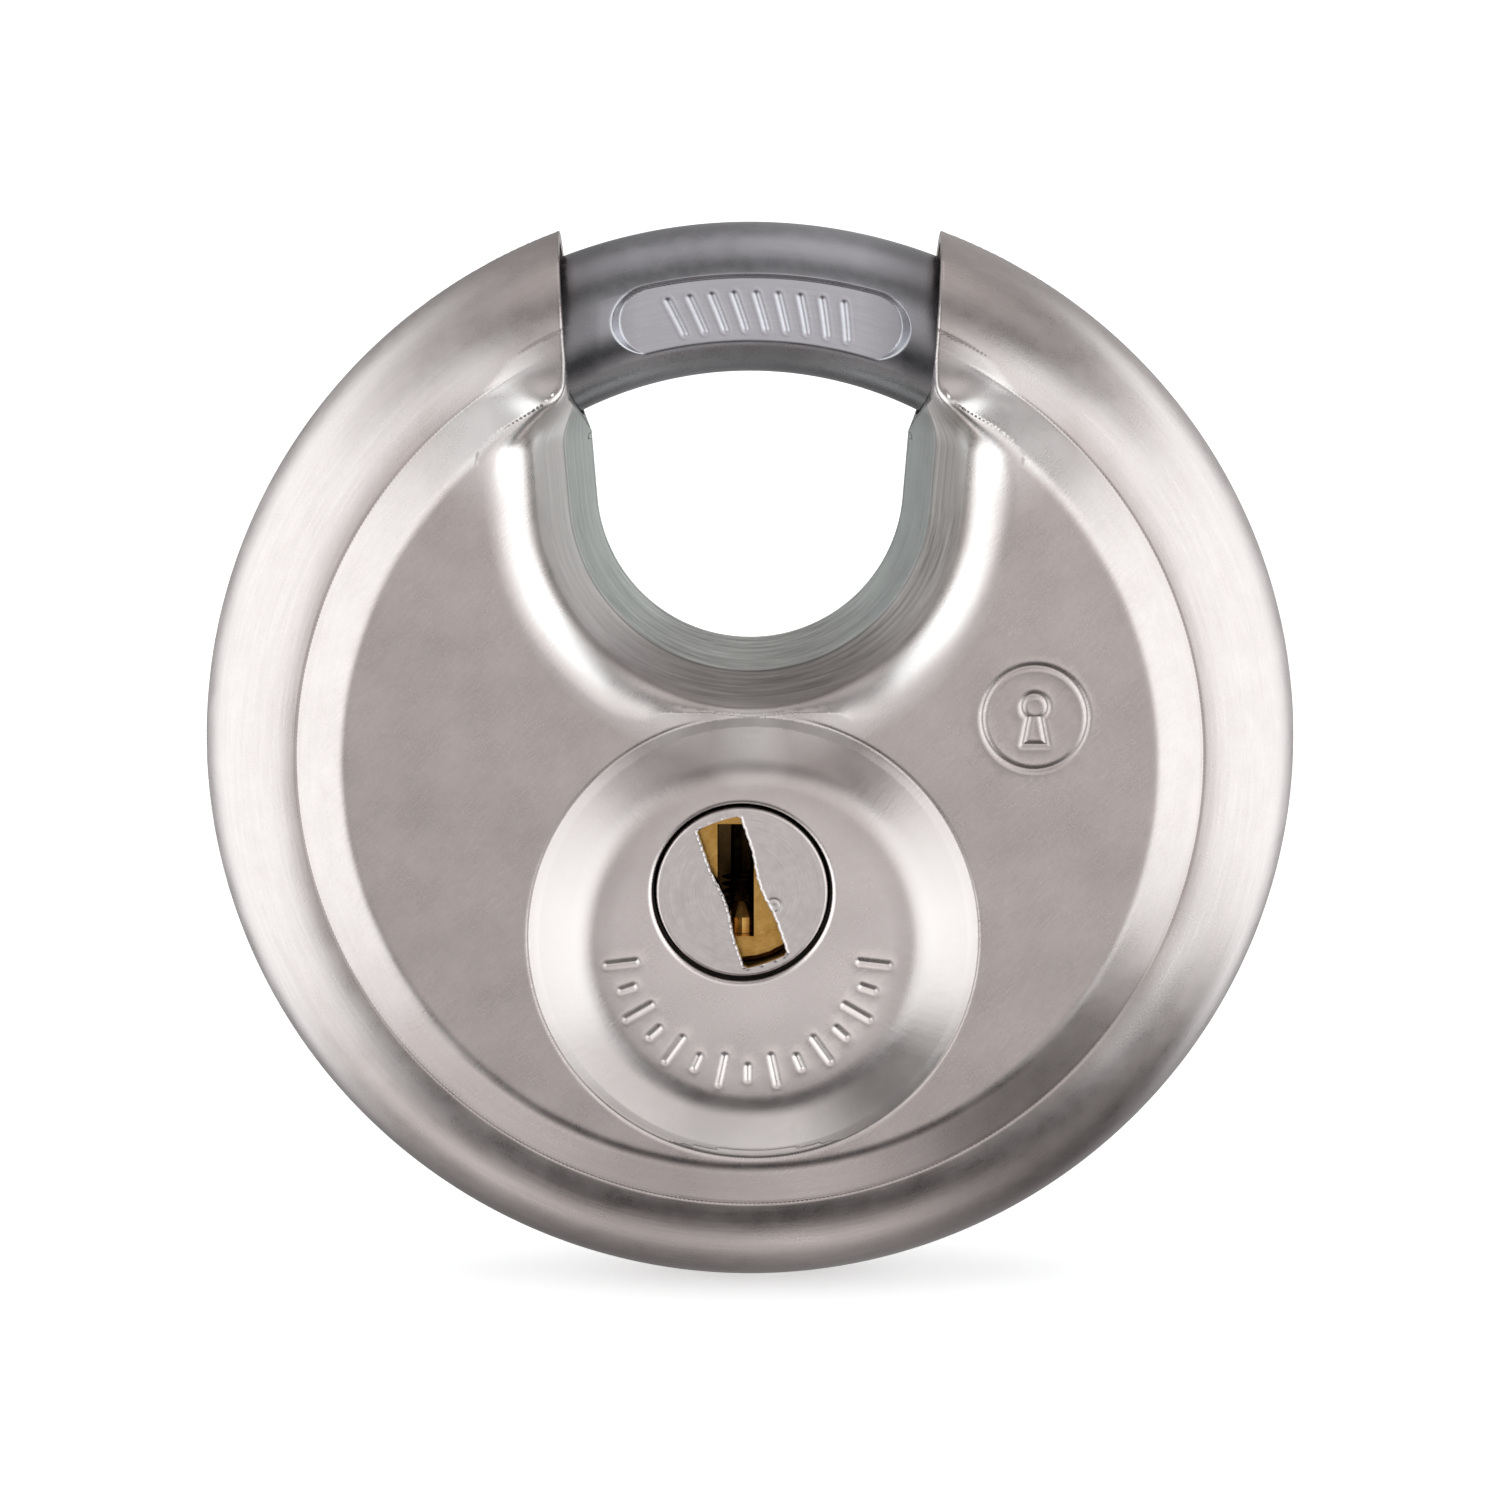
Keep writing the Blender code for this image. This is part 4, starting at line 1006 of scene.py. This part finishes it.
def turned_metal(name, centre, dark, light, roughness, depth=0.010, shade_depth=None, shade_share=1.0):
    """Metal with turning rings round the cylinder's axis, with painted shade, nearly black, deeper than the
    given depth.
    """
    material, tree, shader = nodes_of(name)
    place_mm, x, y, z = object_place(tree)
    vector, _ = polar_vector(tree, x, z, centre, 1.2, 9.0, times(tree, y, 0.6))
    rings_tone = scaled(tree, noise(tree, vector, 1.3, 4.0, 0.7), 0.35, 0.7, 0.0, 0.35)
    cut = noise(tree, vector, 1.0, 4.0, 0.6)
    blotch = noise(tree, place_mm, 1.6, 3.0, 0.6)
    grain = noise(tree, place_mm, 14.0, 3.0, 0.7)
    relief = plus(tree, cut, times(tree, grain, 0.4))
    add_bump(tree, shader, relief, 0.35, depth)
    tone = tint(tree, scaled(tree, blotch, 0.3, 0.7), dark, light)
    worn = tuple(0.6 * part for part in dark)
    tone = tint(tree, rings_tone, tone, worn)
    # Painted shade: deeper than the given depth the metal is painted nearly black.
    if shade_depth:
        painted_shade = scaled(tree, y, -shade_depth, 0.15 - shade_depth)
        tone = tint(tree, times(tree, painted_shade, shade_share), tone, (0.03, 0.028, 0.026))
    make_metal(tree, shader, tone, scaled(tree, blotch, 0.3, 0.7, roughness, roughness + 0.08))
    return material


def grained_metal(name, dark, light, roughness, depth, scale):
    """Metal with an even cast or rolled grain and slow changes of tone."""
    material, tree, shader = nodes_of(name)
    place_mm = object_place(tree)[0]
    grain = noise(tree, place_mm, scale, 5.0, 0.7)
    blotch = noise(tree, place_mm, 0.7, 3.0, 0.6)
    add_bump(tree, shader, grain, 0.5, depth)
    tone = tint(tree, scaled(tree, blotch, 0.3, 0.7), dark, light)
    make_metal(tree, shader, tone, scaled(tree, grain, 0.3, 0.7, roughness - 0.05, roughness + 0.1))
    return material


BRASS_DARK, BRASS_LIGHT = (0.52, 0.27, 0.06), (0.82, 0.48, 0.15)

STEEL = shell_steel()
ROD_STEEL = shackle_steel()
# The guard's flange behind its face and the plug's face deep behind the slot get painted shade.
GUARD_STEEL = turned_metal("turned_guard_steel", (PLUG_X, PLUG_Y), (0.74, 0.67, 0.655),
                           (0.86, 0.79, 0.775), 0.28, shade_depth=12.6)
BRASS = turned_metal("turned_brass", (PLUG_X, PLUG_Y), BRASS_DARK, BRASS_LIGHT, 0.26, depth=0.02)
PLUG_BRASS = turned_metal("turned_plug_brass", (PLUG_X, PLUG_Y), BRASS_DARK, BRASS_LIGHT, 0.26,
                          depth=0.02, shade_depth=10.3, shade_share=0.72)
ZINC = grained_metal("cast_zinc", (0.42, 0.43, 0.44), (0.52, 0.53, 0.54), 0.5, 0.03, 4.0)
HARD_STEEL = grained_metal("dark_hardened_steel", (0.22, 0.22, 0.24), (0.32, 0.32, 0.34),
                           0.38, 0.012, 8.0)
SPRING_STEEL = grained_metal("bright_spring_steel", (0.42, 0.42, 0.43), (0.52, 0.52, 0.53),
                             0.28, 0.006, 10.0)

SLOT_LOOKS = {
    "stainless_shell": STEEL, "guard_steel": GUARD_STEEL, "shackle_steel": ROD_STEEL,
    "plate_steel": HARD_STEEL, "cast_zinc": ZINC, "brass": BRASS, "spring_steel": SPRING_STEEL}


def dress_cad_nodes():
    """Gives each carried-over CAD node the material of its slot in the record."""
    for part in frame["record"]["subparts"]:
        node = frame["nodes"][part["node"]]
        node.data.materials.clear()
        node.data.materials.append(SLOT_LOOKS[part["material_slot"]])
    frame["nodes"]["plug"].data.materials[0] = PLUG_BRASS


def add_piece(obj, material, body, nodes):
    obj.data.materials.append(material)
    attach(obj, body)
    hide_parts(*nodes)
    return obj


# Room, light and camera


# Brightness of the room against the tilt, in degrees: 0 is level in front and 90 is straight up
ROOM_STOPS = (
    (-180, 0.48), (-135, 0.24), (-104, 0.42), (-90, 1.0), (-76, 1.0), (-63, 0.34), (-50, 0.06),
    (-36, 0.06), (-24, 0.32), (-14, 0.79), (0, 0.95), (22, 0.92), (33, 0.66), (44, 0.36), (58, 0.24),
    (70, 0.54), (84, 0.86), (102, 0.88), (122, 0.48), (150, 0.42), (180, 0.48))
DARK_ROOM, BRIGHT_PANEL = (0.05, 0.048, 0.046), (1.62, 1.74, 1.76)


def world_light():
    """A soft studio seen in the metal: two side panels in a room whose brightness changes with height."""
    world = bpy.data.worlds.new("studio")
    bpy.context.scene.world = world
    world.use_nodes = True
    tree = world.node_tree
    background = tree.nodes["Background"]
    coords = tree.nodes.new("ShaderNodeTexCoord")
    split = tree.nodes.new("ShaderNodeSeparateXYZ")
    tree.links.new(coords.outputs["Generated"], split.inputs[0])
    x, y, z = split.outputs[0], split.outputs[1], split.outputs[2]
    front = times(tree, y, -1.0)
    tilt = math_node(tree, "ARCTAN2", z, front)
    share = scaled(tree, tilt, -math.pi, math.pi)
    ramp = tree.nodes.new("ShaderNodeValToRGB")
    tree.links.new(share, ramp.inputs[0])
    elements = ramp.color_ramp.elements
    while len(elements) < len(ROOM_STOPS):
        elements.new(0.5)
    for element, (degrees, value) in zip(elements, ROOM_STOPS):
        element.position = (degrees + 180) / 360
        element.color = (value, value, value, 1.0)
    aside = scaled(tree, absolute(tree, x), 0.22, 0.72)
    dim_above = times(tree, aside, scaled(tree, z, 0.42, 0.70, 0.0, 0.66))
    dim_below = times(tree, scaled(tree, x, 0.15, 0.45), scaled(tree, z, -0.45, -0.7, 0.0, 0.8))
    dim_left = times(tree, scaled(tree, x, 0.08, -0.08, 0.0, 0.36), scaled(tree, x, -0.40, -0.25))
    dim = math_node(tree, "MAXIMUM", math_node(tree, "MAXIMUM", dim_above, dim_below), dim_left)
    room = tint(tree, dim, ramp.outputs["Color"], DARK_ROOM)
    left = times(tree, scaled(tree, x, -0.38, -0.64),
                 times(tree, scaled(tree, z, -0.76, -0.54),
                       scaled(tree, z, 0.76, 0.46)))
    right = times(tree, scaled(tree, x, 0.34, 0.56),
                  times(tree, scaled(tree, z, -0.62, -0.44),
                        scaled(tree, z, 0.65, 0.47)))
    panels = times(tree, plus(tree, left, right), scaled(tree, y, 0.88, 0.60))
    light = tint(tree, math_node(tree, "MINIMUM", panels, 1.0), room, BRIGHT_PANEL)
    path = tree.nodes.new("ShaderNodeLightPath")
    seen = tint(tree, path.outputs["Is Camera Ray"], light, (1.0, 1.0, 1.0))
    tree.links.new(seen, background.inputs["Color"])
    background.inputs["Strength"].default_value = 1.0


def floor():
    low = min(corner[2] for corner in CAD_BOX)
    bpy.ops.mesh.primitive_plane_add(size=6.0, location=(0, 0, low - 0.0001))
    obj = bpy.context.object
    obj.name = "floor"
    material, tree, shader = nodes_of("pale_floor")
    place_mm = object_place(tree)[0]
    tone = tint(tree, noise(tree, place_mm, 0.02, 2.0, 0.5), (0.93, 0.93, 0.93), (0.96, 0.96, 0.96))
    tree.links.new(tone, shader.inputs["Base Color"])
    shader.inputs["Roughness"].default_value = 0.9
    shader.inputs["Specular IOR Level"].default_value = 0.0
    shader.inputs["Emission Color"].default_value = (1.0, 1.0, 1.0, 1.0)
    shader.inputs["Emission Strength"].default_value = 0.45
    obj.data.materials.append(material)
    obj.visible_glossy = False


def top_light():
    """One broad soft lamp above, which lights the floor evenly."""
    lamp = bpy.data.lights.new("soft_top", "AREA")
    lamp.shape = "RECTANGLE"
    lamp.size, lamp.size_y = 2.4, 2.4
    lamp.energy = 9.0
    obj = bpy.data.objects.new("soft_top", lamp)
    obj.location = (0.0, -0.2, 1.6)
    obj.visible_glossy = False
    bpy.context.scene.collection.objects.link(obj)


CAMERA_DISTANCE = 0.45
CAMERA_ELEVATION = math.radians(9.3)
VIEW_WIDTH = 0.0967
AIM_Z = -0.00068


def camera():
    data = bpy.data.cameras.new("camera")
    data.sensor_width = 36.0
    data.lens = data.sensor_width * CAMERA_DISTANCE / VIEW_WIDTH
    data.clip_start = 0.01
    obj = bpy.data.objects.new("camera", data)
    aim = Vector((0.0, SEAM_Y, AIM_Z))
    way = Vector((0.0, -math.cos(CAMERA_ELEVATION), math.sin(CAMERA_ELEVATION)))
    obj.location = aim + way * CAMERA_DISTANCE
    obj.rotation_euler = (-way).to_track_quat("-Z", "Y").to_euler()
    bpy.context.scene.collection.objects.link(obj)
    bpy.context.scene.camera = obj
    bpy.context.scene.view_settings.view_transform = "Standard"


dress_cad_nodes()
add_piece(shell("front_half", True), STEEL, "case", ["front_shell"])
add_piece(shell("rear_half", False), STEEL, "case", ["rear_shell"])
add_piece(shackle(), ROD_STEEL, "shackle", ["shackle"])
add_piece(guard_disc(), GUARD_STEEL, "guard_disc", ["guard_disc"])
for pin_number in range(1, 6):
    pin_spring(pin_number)
world_light()
floor()
top_light()
camera()
